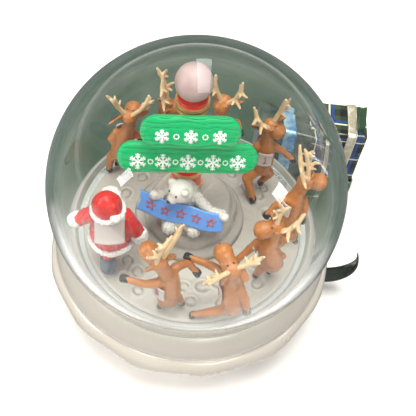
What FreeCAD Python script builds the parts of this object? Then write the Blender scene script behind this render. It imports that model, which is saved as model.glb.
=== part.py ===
import FreeCAD, Part
import math
import os
import Sketcher

# Musical snow globe: a clear dome on a snow-drift base, with a turntable scene
# driven by a wind-up movement. Millimetres, +Z up, origin at the centre of the
# circle that the pads stand on; -Y is the front.

V = FreeCAD.Vector
Turn = FreeCAD.Rotation
X_AXIS = V(1, 0, 0)
Y_AXIS = V(0, 1, 0)
Z_AXIS = V(0, 0, 1)

doc = FreeCAD.newDocument("snow_globe")
sheet = doc.addObject("Spreadsheet::Sheet", "sizes")
nodes = []

driving_sizes = {
    "dome_radius": 60.0,
    "dome_wall": 3.0,
    "dome_centre": 70.0,
    "dome_foot": 40.0,
    "gasket_depth": 1.4,
    "plate_top": 43.0,
    "plate_thick": 2.5,
    "plate_radius": 47.4,
    "deck_top": 39.0,
    "deck_thick": 3.0,
    "neck_radius": 46.0,
    "collar_radius": 59.2,
    "shoulder": 32.0,
    "skirt_radius": 61.5,
    "skirt_middle": 25.0,
    "drum_radius": 45.0,
    "drum_top": 15.0,
    "cavity_radius": 41.0,
    "recess_radius": 42.2,
    "cover_ledge": 11.0,
    "cover_thick": 2.0,
    "pad_thick": 1.2,
    "pad_radius": 1.3,
    "mound_radius": 24.0,
    "mound_height": 13.0,
    "pole_radius": 4.7,
    "drum_post_radius": 6.4,
    "pole_y": 12.0,
    "pole_x": 5.0,
    "ball_radius": 7.0,
    "ball_height": 116.5,
    "sign_height": 12.4,
    "sign_thick": 4.4,
    "upper_sign_width": 37.0,
    "lower_sign_width": 54.0,
    "deer_height": 44.0,
    "santa_height": 47.0,
    "shaft_radius": 1.6,
    "running_gap": 0.05,
    "gear_module": 0.6,
    "gear_thick": 1.6,
    "drive_teeth": 48.0,
    "idler_wheel_teeth": 40.0,
    "pinion_teeth": 12.0,
    "fan_pinion_teeth": 8.0,
    "barrel_radius": 12.0,
    "barrel_wall": 0.9,
    "barrel_bottom": 13.5,
    "barrel_height": 11.5,
    "cylinder_radius": 6.0,
    "cylinder_length": 18.0,
    "parcel_right": 77.0,
    "parcel_left": 27.0,
    "parcel_front": 52.0,
    "parcel_depth": 20.0,
    "parcel_height": 51.0,
}
for row, (alias, value) in enumerate(driving_sizes.items(), start=1):
    sheet.set(f"A{row}", alias)
    sheet.set(f"B{row}", str(value))
    sheet.setAlias(f"B{row}", alias)
doc.recompute()


class Size:
    """A length that keeps its value and its spreadsheet formula together."""

    def __init__(self, value, text):
        self.value = value
        self.text = text

    def __add__(self, other):
        other = as_size(other)
        return Size(self.value + other.value, f"({self.text} + {other.text})")

    def __sub__(self, other):
        other = as_size(other)
        return Size(self.value - other.value, f"({self.text} - {other.text})")

    def __mul__(self, other):
        other = as_size(other)
        return Size(self.value * other.value, f"({self.text} * {other.text})")

    def __neg__(self):
        return Size(-self.value, f"(-1 * {self.text})")

    __radd__ = __add__
    __rmul__ = __mul__


def as_size(number):
    return number if isinstance(number, Size) else Size(float(number), f"({number:.6f})")


def cell(alias):
    return Size(driving_sizes[alias], f"sizes.{alias}")


def bind(thing, **lengths):
    """Set properties of a thing, as formulas where the length has one."""
    for prop, length in lengths.items():
        length = as_size(length)
        setattr(thing, prop, length.value)
        thing.setExpression(prop, length.text)


def place(thing, spot=(0, 0, 0), turn=None):
    """Put a thing at a spot, whose coordinates may be formulas."""
    base = V(*[as_size(number).value for number in spot])
    thing.Placement = FreeCAD.Placement(base, turn or Turn())
    for letter, number in zip("xyz", spot):
        if isinstance(number, Size):
            thing.setExpression(f"Placement.Base.{letter}", number.text)
    return thing


def primitive(kind, name, spot, turn=None, **lengths):
    thing = doc.addObject(f"Part::{kind}", name)
    bind(thing, **lengths)
    return place(thing, spot, turn)


def rod(name, start, end, radius, end_radius=None):
    """A round bar between two points, tapered where it has a second radius."""
    start, end = V(*start), V(*end)
    turn = Turn(Z_AXIS, end - start)
    if end_radius is None:
        return primitive("Cylinder", name, start, turn, Radius=radius, Height=(end - start).Length)
    return primitive("Cone", name, start, turn,
                     Radius1=radius, Radius2=end_radius, Height=(end - start).Length)


def egg(name, spot, across, along, tall, turn=None):
    """An ellipsoid with its half sizes along X, Y and Z."""
    return primitive("Ellipsoid", name, spot, turn, Radius1=tall, Radius2=across, Radius3=along)


def joined(label, things):
    whole = doc.addObject("Part::MultiFuse", label)
    whole.Shapes = things
    return whole


def grouped(label, things):
    whole = doc.addObject("Part::Compound", label)
    whole.Links = things
    return whole


def cut(label, thing, tool):
    whole = doc.addObject("Part::Cut", label)
    whole.Base = thing
    whole.Tool = tool
    return whole


def keep(thing, label):
    """Make a thing one of the sub-parts, under its own name."""
    thing.Label = label
    nodes.append(thing)
    return thing


def named(label):
    return next(node for node in nodes if node.Label == label)


def new_body(name):
    return doc.addObject("PartDesign::Body", name)


def new_sketch(body, role, lift=0):
    """A sketch on one of the body's own planes, lifted along the plane's normal."""
    plane = next(item for item in body.Origin.OriginFeatures if item.Role == role)
    sketch = body.newObject("Sketcher::SketchObject", "Sketch")
    sketch.AttachmentSupport = (plane, [""])
    sketch.MapMode = "FlatFace"
    lift = as_size(lift)
    sketch.AttachmentOffset = FreeCAD.Placement(V(0, 0, lift.value), Turn())
    sketch.setExpression("AttachmentOffset.Base.z", lift.text)
    return sketch


def pin_point(sketch, geometry, end, across, up):
    """Hold one end of a sketch line by its two distances from the sketch's origin."""
    for kind, axis, length in (("DistanceX", -2, across), ("DistanceY", -1, up)):
        length = as_size(length)
        if abs(length.value) < 1e-9:
            sketch.addConstraint(Sketcher.Constraint("PointOnObject", geometry, end, axis))
        else:
            index = sketch.addConstraint(
                Sketcher.Constraint(kind, -1, 1, geometry, end, length.value))
            sketch.setExpression(f"Constraints[{index}]", length.text)


def draw_outline(sketch, corners):
    """Close a line through the corners. A third number on a corner is the radius of an
    arc to the next corner, positive when the arc turns left."""
    count = len(corners)
    points = [V(as_size(corner[0]).value, as_size(corner[1]).value, 0) for corner in corners]
    for index, corner in enumerate(corners):
        start, end = points[index], points[(index + 1) % count]
        if len(corner) == 2:
            sketch.addGeometry(Part.LineSegment(start, end), False)
        else:
            radius = as_size(corner[2]).value
            chord = end - start
            left = V(-chord.y, chord.x, 0).normalize()
            rise = math.sqrt(max(radius ** 2 - (chord.Length / 2) ** 2, 0))
            side = math.copysign(1, radius)
            centre = (start + end) * 0.5 + left * rise * side
            middle = centre - left * abs(radius) * side
            sketch.addGeometry(Part.Arc(start, middle, end), False)
    for index in range(count):
        following = (index + 1) % count
        first_end, second_start = 2, 1
        if len(corners[index]) == 3 and as_size(corners[index][2]).value < 0:
            first_end = 1
        if len(corners[following]) == 3 and as_size(corners[following][2]).value < 0:
            second_start = 2
        sketch.addConstraint(
            Sketcher.Constraint("Coincident", index, first_end, following, second_start))
        pin_point(sketch, following, second_start, corners[following][0], corners[following][1])
        if len(corners[index]) == 3:
            radius = as_size(corners[index][2])
            radius = radius if radius.value > 0 else -radius
            chord = (points[following] - points[index]).Length
            if abs(chord - 2 * radius.value) > 1e-6:
                item = sketch.addConstraint(Sketcher.Constraint("Radius", index, radius.value))
                sketch.setExpression(f"Constraints[{item}]", radius.text)
            else:
                # a half circle stands on an upright chord, so its centre's X settles it
                middle = as_size(corners[index][0])
                item = sketch.addConstraint(
                    Sketcher.Constraint("DistanceX", -1, 1, index, 3, middle.value))
                sketch.setExpression(f"Constraints[{item}]", middle.text)


def draw_circle(sketch, radius):
    radius = as_size(radius)
    sketch.addGeometry(Part.Circle(V(0, 0, 0), Z_AXIS, radius.value), False)
    sketch.addConstraint(Sketcher.Constraint("Coincident", 0, 3, -1, 1))
    item = sketch.addConstraint(Sketcher.Constraint("Radius", 0, radius.value))
    sketch.setExpression(f"Constraints[{item}]", radius.text)


def turned(label, corners):
    """A part turned about the Z axis from its half section."""
    body = new_body(label)
    sketch = new_sketch(body, "XZ_Plane")
    draw_outline(sketch, corners)
    spin = body.newObject("PartDesign::Revolution", "Revolution")
    spin.Profile = sketch
    spin.ReferenceAxis = (sketch, ["V_Axis"])
    spin.Angle = 360
    sketch.Visibility = False
    return body


def padded(label, corners, bottom, thick, role="XY_Plane"):
    """A flat part cut to an outline."""
    body = new_body(label)
    sketch = new_sketch(body, role, bottom)
    draw_outline(sketch, corners)
    pad = body.newObject("PartDesign::Pad", "Pad")
    pad.Profile = sketch
    bind(pad, Length=thick)
    sketch.Visibility = False
    return body


def ring(label, inner, outer, bottom, thick):
    top = bottom + thick
    return turned(label, [(outer, bottom), (outer, top), (inner, top), (inner, bottom)])


def around(count, radius, start=0.0):
    """Evenly spaced points on a circle about the Z axis."""
    for index in range(count):
        angle = start + 2 * math.pi * index / count
        yield radius * math.cos(angle), radius * math.sin(angle)


# ---------------------------------------------------------------- dome and base
dome_radius = cell("dome_radius")
dome_centre = cell("dome_centre")
dome_inner = dome_radius - cell("dome_wall")
plate_top = cell("plate_top")
deck_top = cell("deck_top")
deck_bottom = deck_top - cell("deck_thick")
shoulder = cell("shoulder")
shaft_radius = cell("shaft_radius")


def make_dome():
    """A sphere shell cut flat at its foot."""
    foot_angle = math.degrees(math.asin(
        (driving_sizes["dome_foot"] - driving_sizes["dome_centre"]) / driving_sizes["dome_radius"]))
    outside = primitive("Sphere", "dome_outside", (0, 0, dome_centre), Radius=dome_radius)
    outside.setExpression(
        "Angle1", "asin((sizes.dome_foot - sizes.dome_centre) / sizes.dome_radius)")
    outside.Angle1 = foot_angle
    inside = primitive("Sphere", "dome_inside", (0, 0, dome_centre), Radius=dome_inner)
    keep(cut("glass_dome", outside, inside), "glass_dome")


def make_seat():
    """The glossy collar that takes the dome's foot, and the rubber ring under the glass."""
    foot = cell("dome_foot") - 0.2
    groove = foot - cell("gasket_depth") + 0.2
    neck = cell("neck_radius") + 0.1
    collar_radius = cell("collar_radius")
    collar = turned("base_collar", [
        (neck, shoulder), (collar_radius, shoulder), (collar_radius + 0.3, shoulder + 2.2, 16),
        (collar_radius - 4.9, plate_top), (collar_radius - 5.4, plate_top),
        (52.4, foot), (52.4, groove), (48.2, groove), (48.2, foot), (neck, foot)])
    keep(collar, "base_collar")
    keep(ring("dome_gasket", as_size(48.35), as_size(52.25), groove, cell("gasket_depth")),
         "dome_gasket")


def make_snow_base():
    """The drum with its snow skirt: a turned shell with drifts along the rim."""
    drum = cell("drum_radius")
    skirt = cell("skirt_radius")
    middle = cell("skirt_middle")
    neck = cell("neck_radius")
    pads = cell("pad_thick")
    ledge = cell("cover_ledge")
    bush_hole = as_size(3.2)
    shell = turned("base_shell", [
        (drum, pads), (drum, cell("drum_top")), (skirt - 2.4, middle - 4), (skirt, middle - 0.6),
        (skirt - 0.4, middle + 3.4), (skirt - 2.2, shoulder), (neck, shoulder), (neck, deck_top),
        (bush_hole, deck_top), (bush_hole, deck_bottom), (cell("cavity_radius"), deck_bottom),
        (cell("cavity_radius"), ledge), (cell("recess_radius"), ledge),
        (cell("recess_radius"), pads)])
    drifts = []
    drift_count = 18
    for index, (x, y) in enumerate(around(drift_count, skirt.value - 4.5)):
        turn = Turn(Z_AXIS, 360.0 * index / drift_count)
        swell = 0.8 + 0.5 * math.sin(index * 2.4)
        drifts.append(egg(f"drift_{index}", (x, y, middle), 4.6 + swell, 10.5, 4.4, turn))
    keep(joined("snow_base", [shell] + drifts), "snow_base")


def make_underside():
    """The bottom cover with its screws, and the pads that the globe stands on."""
    ledge = cell("cover_ledge")
    thick = cell("cover_thick")
    bottom = ledge - thick
    screw_ring = 39.0
    cover = ring("cover_disc", as_size(3.0), cell("recess_radius") - 0.2, bottom, thick)
    heads = []
    for index, (x, y) in enumerate(around(4, screw_ring, math.pi / 4)):
        head = primitive("Cylinder", "screw_head", (x, y, bottom - 1.2), Radius=2.6, Height=1.2)
        stem = primitive("Cylinder", "screw_stem", (x, y, bottom - 0.1), Radius=1.2, Height=2.1)
        slot = primitive("Box", "screw_slot", (x - 2.7, y - 0.35, bottom - 1.3),
                         Length=5.4, Width=0.7, Height=0.7)
        heads.append(cut(f"cover_screw_{index}", joined("screw_blank", [head, stem]), slot))
    holes = [primitive("Cylinder", "screw_hole", (x, y, bottom - 1), Radius=1.2, Height=thick + 2)
             for x, y in around(4, screw_ring, math.pi / 4)]
    keep(cut("bottom_cover", cover, joined("screw_holes", holes)), "bottom_cover")
    keep(grouped("cover_screws", heads), "cover_screws")
    pads = [primitive("Cylinder", "pad", (x, y, 0), Radius=cell("pad_radius"),
                      Height=cell("pad_thick"))
            for x, y in around(12, (driving_sizes["drum_radius"]
                                    + driving_sizes["recess_radius"]) / 2)]
    keep(grouped("felt_pads", pads), "felt_pads")


# ---------------------------------------------------------------- presents and ribbon
def make_parcel():
    """The wrapped parcel that stands against the base at the back right."""
    left, right = cell("parcel_left"), cell("parcel_right")
    front, depth = cell("parcel_front"), cell("parcel_depth")
    tall = cell("parcel_height")
    base_room = joined("base_room", [named("snow_base"), named("base_collar")])
    block = primitive("Box", "parcel_block", (left, front, 0),
                      Length=right - left, Width=depth, Height=tall)
    keep(cut("gift_parcel", block, base_room), "gift_parcel")
    band_out = 0.6

    def band(name, x, width):
        outer = primitive("Box", name, (x, front - band_out, 0), Length=width,
                          Width=depth + 2 * band_out, Height=tall + band_out)
        inner = primitive("Box", f"{name}_room", (x - 1, front, -1), Length=width + 2,
                          Width=depth, Height=tall + 1)
        return cut(f"{name}_strap", outer, inner)

    cream = band("cream", right - 9.5, 4.0)
    keep(cream, "parcel_ribbon")
    keep(band("blue", left + 12.5, 7.0), "parcel_band")
    sash_outer = primitive("Box", "sash_outer", (right - 16, front - band_out, 0),
                           Length=16 + band_out, Width=depth + 2 * band_out, Height=17.0)
    sash_inner = primitive("Box", "sash_inner", (right - 17, front, -1),
                           Length=17.0, Width=depth, Height=19.0)
    cream_room = primitive("Box", "cream_room", (right - 9.5, front - 2, -1),
                           Length=4.0, Width=depth + 4, Height=19.0)
    sash = cut("sash_open", cut("sash", sash_outer, sash_inner), cream_room)
    keep(sash, "parcel_sash")
    leaf = padded("leaf", [(0, 0), (3.8, 0), (2.6, 8), (0.8, 17), (-3.4, 17.8), (-2.2, 8)],
                  0, 1.4, "XZ_Plane")
    leaf.Placement = FreeCAD.Placement(V(right.value - 5.4, front.value + 5.0, tall.value),
                                       Turn(X_AXIS, -8))
    keep(leaf, "parcel_bow_tail")


def make_ribbon_curl():
    """The glossy ribbon end that leaves the drum under the skirt and curls up."""
    width = 8.0
    start = cell("drum_radius")
    curl = padded("ribbon_curl", [
        (start, 9.0), (64.0, 9.0, 14.0), (77.6, 24.0), (74.6, 34.0),
        (73.6, 24.0, -10.5), (64.0, 12.4), (start, 12.4)],
        -width / 2, width, "XZ_Plane")
    keep(curl, "ribbon_curl")


# ---------------------------------------------------------------- turntable scene
def make_turntable():
    plate_bottom = plate_top - cell("plate_thick")
    bore = shaft_radius
    plate = turned("turntable_plate", [
        (bore, plate_bottom), (cell("plate_radius"), plate_bottom),
        (cell("plate_radius"), plate_top), (bore, plate_top)])
    keep(plate, "turntable_plate")


mound_centre = (-2.0, 4.0)


def make_mound():
    """The raised snow bank in the middle, with room under it for the shaft's end."""
    low, top = cell("mound_radius"), cell("mound_radius") * 0.72
    tall = cell("mound_height")
    bank = primitive("Cone", "bank", (mound_centre[0], mound_centre[1], plate_top),
                     Radius1=low, Radius2=top, Height=tall)
    room = primitive("Cylinder", "shaft_room", (0, 0, plate_top - 1), Radius=3.6, Height=5.0)
    keep(cut("snow_mound", bank, room), "snow_mound")


pole_spot = (-driving_sizes["pole_x"], driving_sizes["pole_y"])
post_foot = plate_top + cell("mound_height")
post_drum_height = 13.0
ball_bottom = cell("ball_height") - cell("ball_radius")


def pole_piece(kind, name, bottom, **lengths):
    return primitive(kind, name, (-cell("pole_x"), cell("pole_y"), bottom), **lengths)


def make_pole():
    """The striped post with its gold rings and frosted ball."""
    slim, stout = cell("pole_radius"), cell("drum_post_radius")
    collar_bottom = ball_bottom - 5.0
    drum = pole_piece("Cylinder", "post_drum", post_foot, Radius=stout, Height=post_drum_height)
    column = pole_piece("Cylinder", "post_column", post_foot, Radius=slim,
                        Height=ball_bottom - post_foot)
    head = pole_piece("Cylinder", "post_head", collar_bottom, Radius=stout - 0.6, Height=5.6)
    cup = pole_piece("Sphere", "post_cup", cell("ball_height"), Radius=cell("ball_radius") + 0.02)
    keep(cut("pole_post", joined("post_blank", [drum, column, head]), cup), "pole_post")
    rings = []
    levels = ((post_foot + 2.2, stout), (post_foot + post_drum_height - 0.9, stout),
              (collar_bottom + 1.0, stout - 0.6), (collar_bottom + 3.2, stout - 0.6))
    for index, (level, radius) in enumerate(levels):
        outer = pole_piece("Cylinder", "ring_outer", level - 0.6, Radius=radius + 0.7, Height=1.2)
        inner = pole_piece("Cylinder", "ring_inner", level - 1.6, Radius=radius, Height=3.2)
        rings.append(cut(f"ring_{index}", outer, inner))
    keep(grouped("pole_rings", rings), "pole_rings")
    keep(pole_piece("Sphere", "ball", cell("ball_height"), Radius=cell("ball_radius")),
         "pole_ball")


def make_sign(label, width, level, x):
    """A plank with round ends that leans back and is notched for the post."""
    tall, thick = cell("sign_height"), cell("sign_thick")
    half = tall * 0.5
    reach = width * 0.5 - half
    plank = padded(f"{label}_plank", [
        (reach, -half, half), (reach, half), (-reach, half, half), (-reach, -half)],
        0, thick, "XY_Plane")
    lean, swing = 62.0, 6.5
    front = V(x, 2.2, level)
    plank.Placement = FreeCAD.Placement(front, Turn(Z_AXIS, swing) * Turn(X_AXIS, lean))
    notch = pole_piece("Cylinder", f"{label}_notch", post_foot, Radius=cell("pole_radius"),
                       Height=60.0)
    keep(cut(label, plank, notch), label)


def make_bear():
    """The sitting bear that holds the banner up in front of the post."""
    top = driving_sizes["plate_top"] + driving_sizes["mound_height"]
    bear = joined("bear", [
        egg("bear_body", (-5.0, -2.5, top + 7.6), 7.0, 6.0, 7.6),
        egg("bear_head", (-6.2, -6.8, top + 15.8), 5.2, 5.4, 4.6),
        egg("bear_snout", (-7.8, -11.2, top + 13.8), 2.4, 3.2, 2.2),
        rod("bear_arm_left", (-11.0, -3.5, top + 11.0), (-17.0, -6.0, top + 7.4), 2.2),
        rod("bear_arm_right", (1.0, -3.5, top + 10.0), (9.6, -7.0, top + 5.0), 2.2),
        rod("bear_leg_left", (-8.0, -4.0, top + 3.0), (-9.0, -12.0, top + 2.2), 2.9),
        rod("bear_leg_right", (-2.0, -4.0, top + 3.0), (-0.5, -12.0, top + 2.2), 2.9)])
    ground = primitive("Box", "bear_ground", (-40, -40, top - 10),
                       Length=80.0, Width=80.0, Height=10.0)
    keep(cut("polar_bear", bear, ground), "polar_bear")
    banner = padded("banner_sheet", [(-17, -2.9), (18, -2.9), (16.4, 0), (18, 2.9),
                                     (-17, 2.9), (-15.4, 0)], 0, 1.0, "XY_Plane")
    banner.Placement = FreeCAD.Placement(
        V(-6.0, -10.5, top + 6.4), Turn(Z_AXIS, -12) * Turn(Y_AXIS, 9) * Turn(X_AXIS, 55))
    bear_room = doc.addObject("Part::Cut", "banner_trim")
    bear_room.Base = banner
    bear_room.Tool = nodes[-1]
    keep(bear_room, "banner")


def figure_placement(radius, azimuth, heading):
    """Feet on the track at a polar position, facing along the heading."""
    spot = V(radius * math.cos(math.radians(azimuth)), radius * math.sin(math.radians(azimuth)),
             driving_sizes["plate_top"])
    return FreeCAD.Placement(spot, Turn(Z_AXIS, heading))


def make_santa():
    """The runner in front, with his bib on his back."""
    tall = driving_sizes["santa_height"]
    body = joined("santa_figure", [
        egg("coat", (0, 0, 0.50 * tall), 0.17 * tall, 0.20 * tall, 0.21 * tall),
        egg("skirt_of_coat", (0, 0, 0.36 * tall), 0.19 * tall, 0.21 * tall, 0.11 * tall),
        egg("head_and_hat", (0.03 * tall, 0, 0.82 * tall), 0.13 * tall, 0.13 * tall, 0.16 * tall),
        egg("pompom", (-0.14 * tall, -0.03 * tall, 0.80 * tall), 2.4, 2.4, 2.4),
        rod("standing_leg", (1.0, 2.8, 0.34 * tall), (0.0, 2.8, 3.0), 3.0),
        primitive("Cylinder", "standing_boot", (0.0, 2.8, 0), Radius=3.3, Height=5.0),
        rod("lifted_leg", (2.0, -2.8, 0.34 * tall), (7.5, -2.8, 0.18 * tall), 2.9),
        rod("left_arm", (0.5, 6.5, 0.60 * tall), (7.0, 11.5, 0.66 * tall), 2.5),
        rod("right_arm", (0.0, -6.5, 0.60 * tall), (-3.5, -12.5, 0.47 * tall), 2.6)])
    body.Placement = figure_placement(39.0, 215.0, 96.0)
    keep(body, "santa")
    sheet_of_bib = primitive("Box", "santa_bib_sheet", (0, 0, 0), Length=9.5, Width=11.5,
                             Height=11.0)
    sheet_of_bib.Placement = body.Placement.multiply(
        FreeCAD.Placement(V(-0.24 * tall, -5.75, 0.42 * tall), Turn()))
    bib = cut("bib_of_santa", sheet_of_bib, body)
    slab = primitive("Box", "santa_bib_slab", (0, 0, 0), Length=2.6, Width=11.5, Height=11.0)
    slab.Placement = body.Placement.multiply(
        FreeCAD.Placement(V(-0.215 * tall, -5.75, 0.42 * tall), Turn()))
    thin = doc.addObject("Part::Common", "bib_common")
    thin.Base = bib
    thin.Tool = slab
    keep(thin, "santa_bib")


deer_track = (          # radius, azimuth and heading of each reindeer, from the last runner
    (37.0, 142.0, 60.0), (38.5, 110.0, 12.0), (38.5, 76.0, -30.0), (35.0, 38.0, -62.0),
    (40.5, 4.0, -70.0), (37.0, -33.0, -128.0), (38.5, -70.0, 190.0), (38.0, -106.0, 168.0))
bib_sheets = []


def make_reindeer(number, radius, azimuth, heading):
    """An upright runner: one hoof down, one leg back, arms swinging, antlers up."""
    tall = driving_sizes["deer_height"]
    figure = joined(f"reindeer_{number}", [
        egg("barrel", (0, 0, 0.49 * tall), 0.125 * tall, 0.125 * tall, 0.22 * tall,
            Turn(Y_AXIS, 10)),
        rod("neck", (0.03 * tall, 0, 0.62 * tall), (0.08 * tall, 0, 0.86 * tall), 0.075 * tall,
            0.06 * tall),
        egg("head", (0.14 * tall, 0, 0.88 * tall), 0.17 * tall, 0.085 * tall, 0.088 * tall,
            Turn(Y_AXIS, 18)),
        rod("front_thigh", (0, 2.0, 0.36 * tall), (0.15 * tall, 2.4, 0.20 * tall), 1.9),
        rod("front_shin", (0.15 * tall, 2.4, 0.20 * tall), (0.03 * tall, 2.4, 1.4), 1.4),
        primitive("Cylinder", "front_hoof", (0.03 * tall, 2.4, 0), Radius=2.0, Height=2.4),
        rod("back_thigh", (0, -2.0, 0.36 * tall), (-0.16 * tall, -2.4, 0.27 * tall), 1.9),
        rod("back_shin", (-0.16 * tall, -2.4, 0.27 * tall), (-0.27 * tall, -2.4, 0.16 * tall),
            1.4, 1.7),
        rod("near_arm", (0.03 * tall, 4.4, 0.62 * tall), (0.23 * tall, 6.4, 0.57 * tall), 1.4, 1.6),
        rod("far_arm", (0, -4.4, 0.62 * tall), (-0.15 * tall, -7.0, 0.50 * tall), 1.4, 1.6),
        rod("near_antler", (0.05 * tall, 1.6, 0.93 * tall), (0.0, 5.6, 1.24 * tall), 1.3, 0.7),
        rod("far_antler", (0.05 * tall, -1.6, 0.93 * tall), (0.0, -5.6, 1.24 * tall), 1.3, 0.7),
        rod("near_tine", (0.03 * tall, 3.6, 1.08 * tall), (0.08 * tall, 7.4, 1.14 * tall), 0.8, 0.6),
        rod("far_tine", (0.03 * tall, -3.6, 1.08 * tall), (0.08 * tall, -7.4, 1.14 * tall),
            0.8, 0.6)])
    figure.Placement = figure_placement(radius, azimuth, heading)
    keep(figure, f"reindeer_{number}")
    card = primitive("Box", f"bib_card_{number}", (0, 0, 0), Length=3.0, Width=6.4, Height=7.4)
    card.Placement = figure.Placement.multiply(
        FreeCAD.Placement(V(0.105 * tall, -3.2, 0.47 * tall), Turn(Y_AXIS, 8)))
    bib_sheets.append(cut(f"bib_{number}", card, figure))


# ---------------------------------------------------------------- wind-up movement
gear_module = cell("gear_module")
gear_thick = cell("gear_thick")
drive_level = as_size(30.0)
idler_level = as_size(26.4)
idler_angle = math.radians(215.0)
fan_angle = math.radians(150.0)


def pitch_radius(teeth):
    return gear_module * teeth * 0.5


idler_reach = (pitch_radius(cell("drive_teeth")) + pitch_radius(cell("pinion_teeth"))).value
fan_reach = (pitch_radius(cell("idler_wheel_teeth")) + pitch_radius(cell("fan_pinion_teeth"))).value
idler_spot = (idler_reach * math.cos(idler_angle), idler_reach * math.sin(idler_angle))
fan_spot = (idler_spot[0] + fan_reach * math.cos(fan_angle),
            idler_spot[1] + fan_reach * math.sin(fan_angle))


def make_gear(label, teeth, bottom, thick, bore, first_tooth, spot=(0, 0)):
    """A spur gear whose first tooth points along the given angle, in degrees."""
    pitch = pitch_radius(teeth)
    root = pitch - gear_module * 1.15
    tip = pitch + gear_module * 0.9
    body = new_body(label)
    disc_sketch = new_sketch(body, "XY_Plane", bottom)
    draw_circle(disc_sketch, root)
    disc = body.newObject("PartDesign::Pad", "Disc")
    disc.Profile = disc_sketch
    bind(disc, Length=thick)
    tooth_sketch = new_sketch(body, "XY_Plane", bottom)
    draw_outline(tooth_sketch, [
        (root - 0.15, gear_module * -0.86), (tip, gear_module * -0.3),
        (tip, gear_module * 0.3), (root - 0.15, gear_module * 0.86)])
    tooth = body.newObject("PartDesign::Pad", "Tooth")
    tooth.Profile = tooth_sketch
    bind(tooth, Length=thick)
    doc.recompute()
    pattern = body.newObject("PartDesign::PolarPattern", "Teeth")
    pattern.Originals = [tooth]
    pattern.Axis = (tooth_sketch, ["N_Axis"])
    pattern.Angle = 360
    pattern.setExpression("Occurrences", teeth.text)
    pattern.Occurrences = int(teeth.value)
    body.Tip = pattern
    doc.recompute()
    hole_sketch = new_sketch(body, "XY_Plane", bottom + thick)
    draw_circle(hole_sketch, bore)
    hole = body.newObject("PartDesign::Pocket", "Bore")
    hole.Profile = hole_sketch
    bind(hole, Length=thick)
    doc.recompute()
    body.Placement = FreeCAD.Placement(V(spot[0], spot[1], 0), Turn(Z_AXIS, first_tooth))
    return body


def half_pitch(teeth):
    return 180.0 / teeth.value


def make_gear_train():
    """Drive gear on the shaft, then the idler, then the fan that governs the speed."""
    gap = cell("running_gap")
    drive_teeth, pinion_teeth = cell("drive_teeth"), cell("pinion_teeth")
    wheel_teeth, fan_teeth = cell("idler_wheel_teeth"), cell("fan_pinion_teeth")
    post_radius = as_size(0.9)
    bore = post_radius + gap
    toward_idler = math.degrees(idler_angle)
    toward_fan = math.degrees(fan_angle)
    keep(make_gear("drive_gear", drive_teeth, drive_level, gear_thick, shaft_radius,
                   toward_idler), "drive_gear")
    pinion = make_gear("idler_pinion", pinion_teeth, drive_level, gear_thick, bore,
                       toward_idler + 180 + half_pitch(pinion_teeth), idler_spot)
    wheel = make_gear("idler_disc", wheel_teeth, idler_level, gear_thick, bore,
                      toward_fan, idler_spot)
    hub_bottom = idler_level + gear_thick
    hub = ring("idler_hub", bore, as_size(2.2), hub_bottom, drive_level - hub_bottom)
    hub.Placement = FreeCAD.Placement(V(*idler_spot, 0), Turn())
    keep(joined("idler_wheel", [pinion, wheel, hub]), "idler_wheel")
    fan_pinion = make_gear("fan_pinion", fan_teeth, idler_level, gear_thick, bore,
                           toward_fan + 180 + half_pitch(fan_teeth), fan_spot)
    sleeve = ring("fan_sleeve", bore, as_size(1.8), as_size(17.0), idler_level - 17.0)
    sleeve.Placement = FreeCAD.Placement(V(*fan_spot, 0), Turn())
    blades = []
    for side in (0, 180):
        blade = primitive("Box", "fan_blade", (0, 0, 0), Length=5.6, Width=0.5, Height=6.5)
        offset = FreeCAD.Placement(V(1.4, -0.25, 17.4), Turn())
        blade.Placement = FreeCAD.Placement(V(*fan_spot, 0), Turn(Z_AXIS, side)).multiply(offset)
        blades.append(blade)
    keep(joined("governor_fan", [fan_pinion, sleeve] + blades), "governor_fan")
    posts = []
    for (x, y), low in ((idler_spot, 25.0), (fan_spot, 15.6)):
        post = primitive("Cylinder", "axle", (x, y, low), Radius=post_radius,
                         Height=deck_bottom - 1.6 - low)
        button = primitive("Cylinder", "axle_end", (x, y, low - 1.0), Radius=1.8, Height=1.0)
        posts.append(joined("axle_post", [post, button]))
    keep(grouped("gear_posts", posts), "gear_posts")


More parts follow.
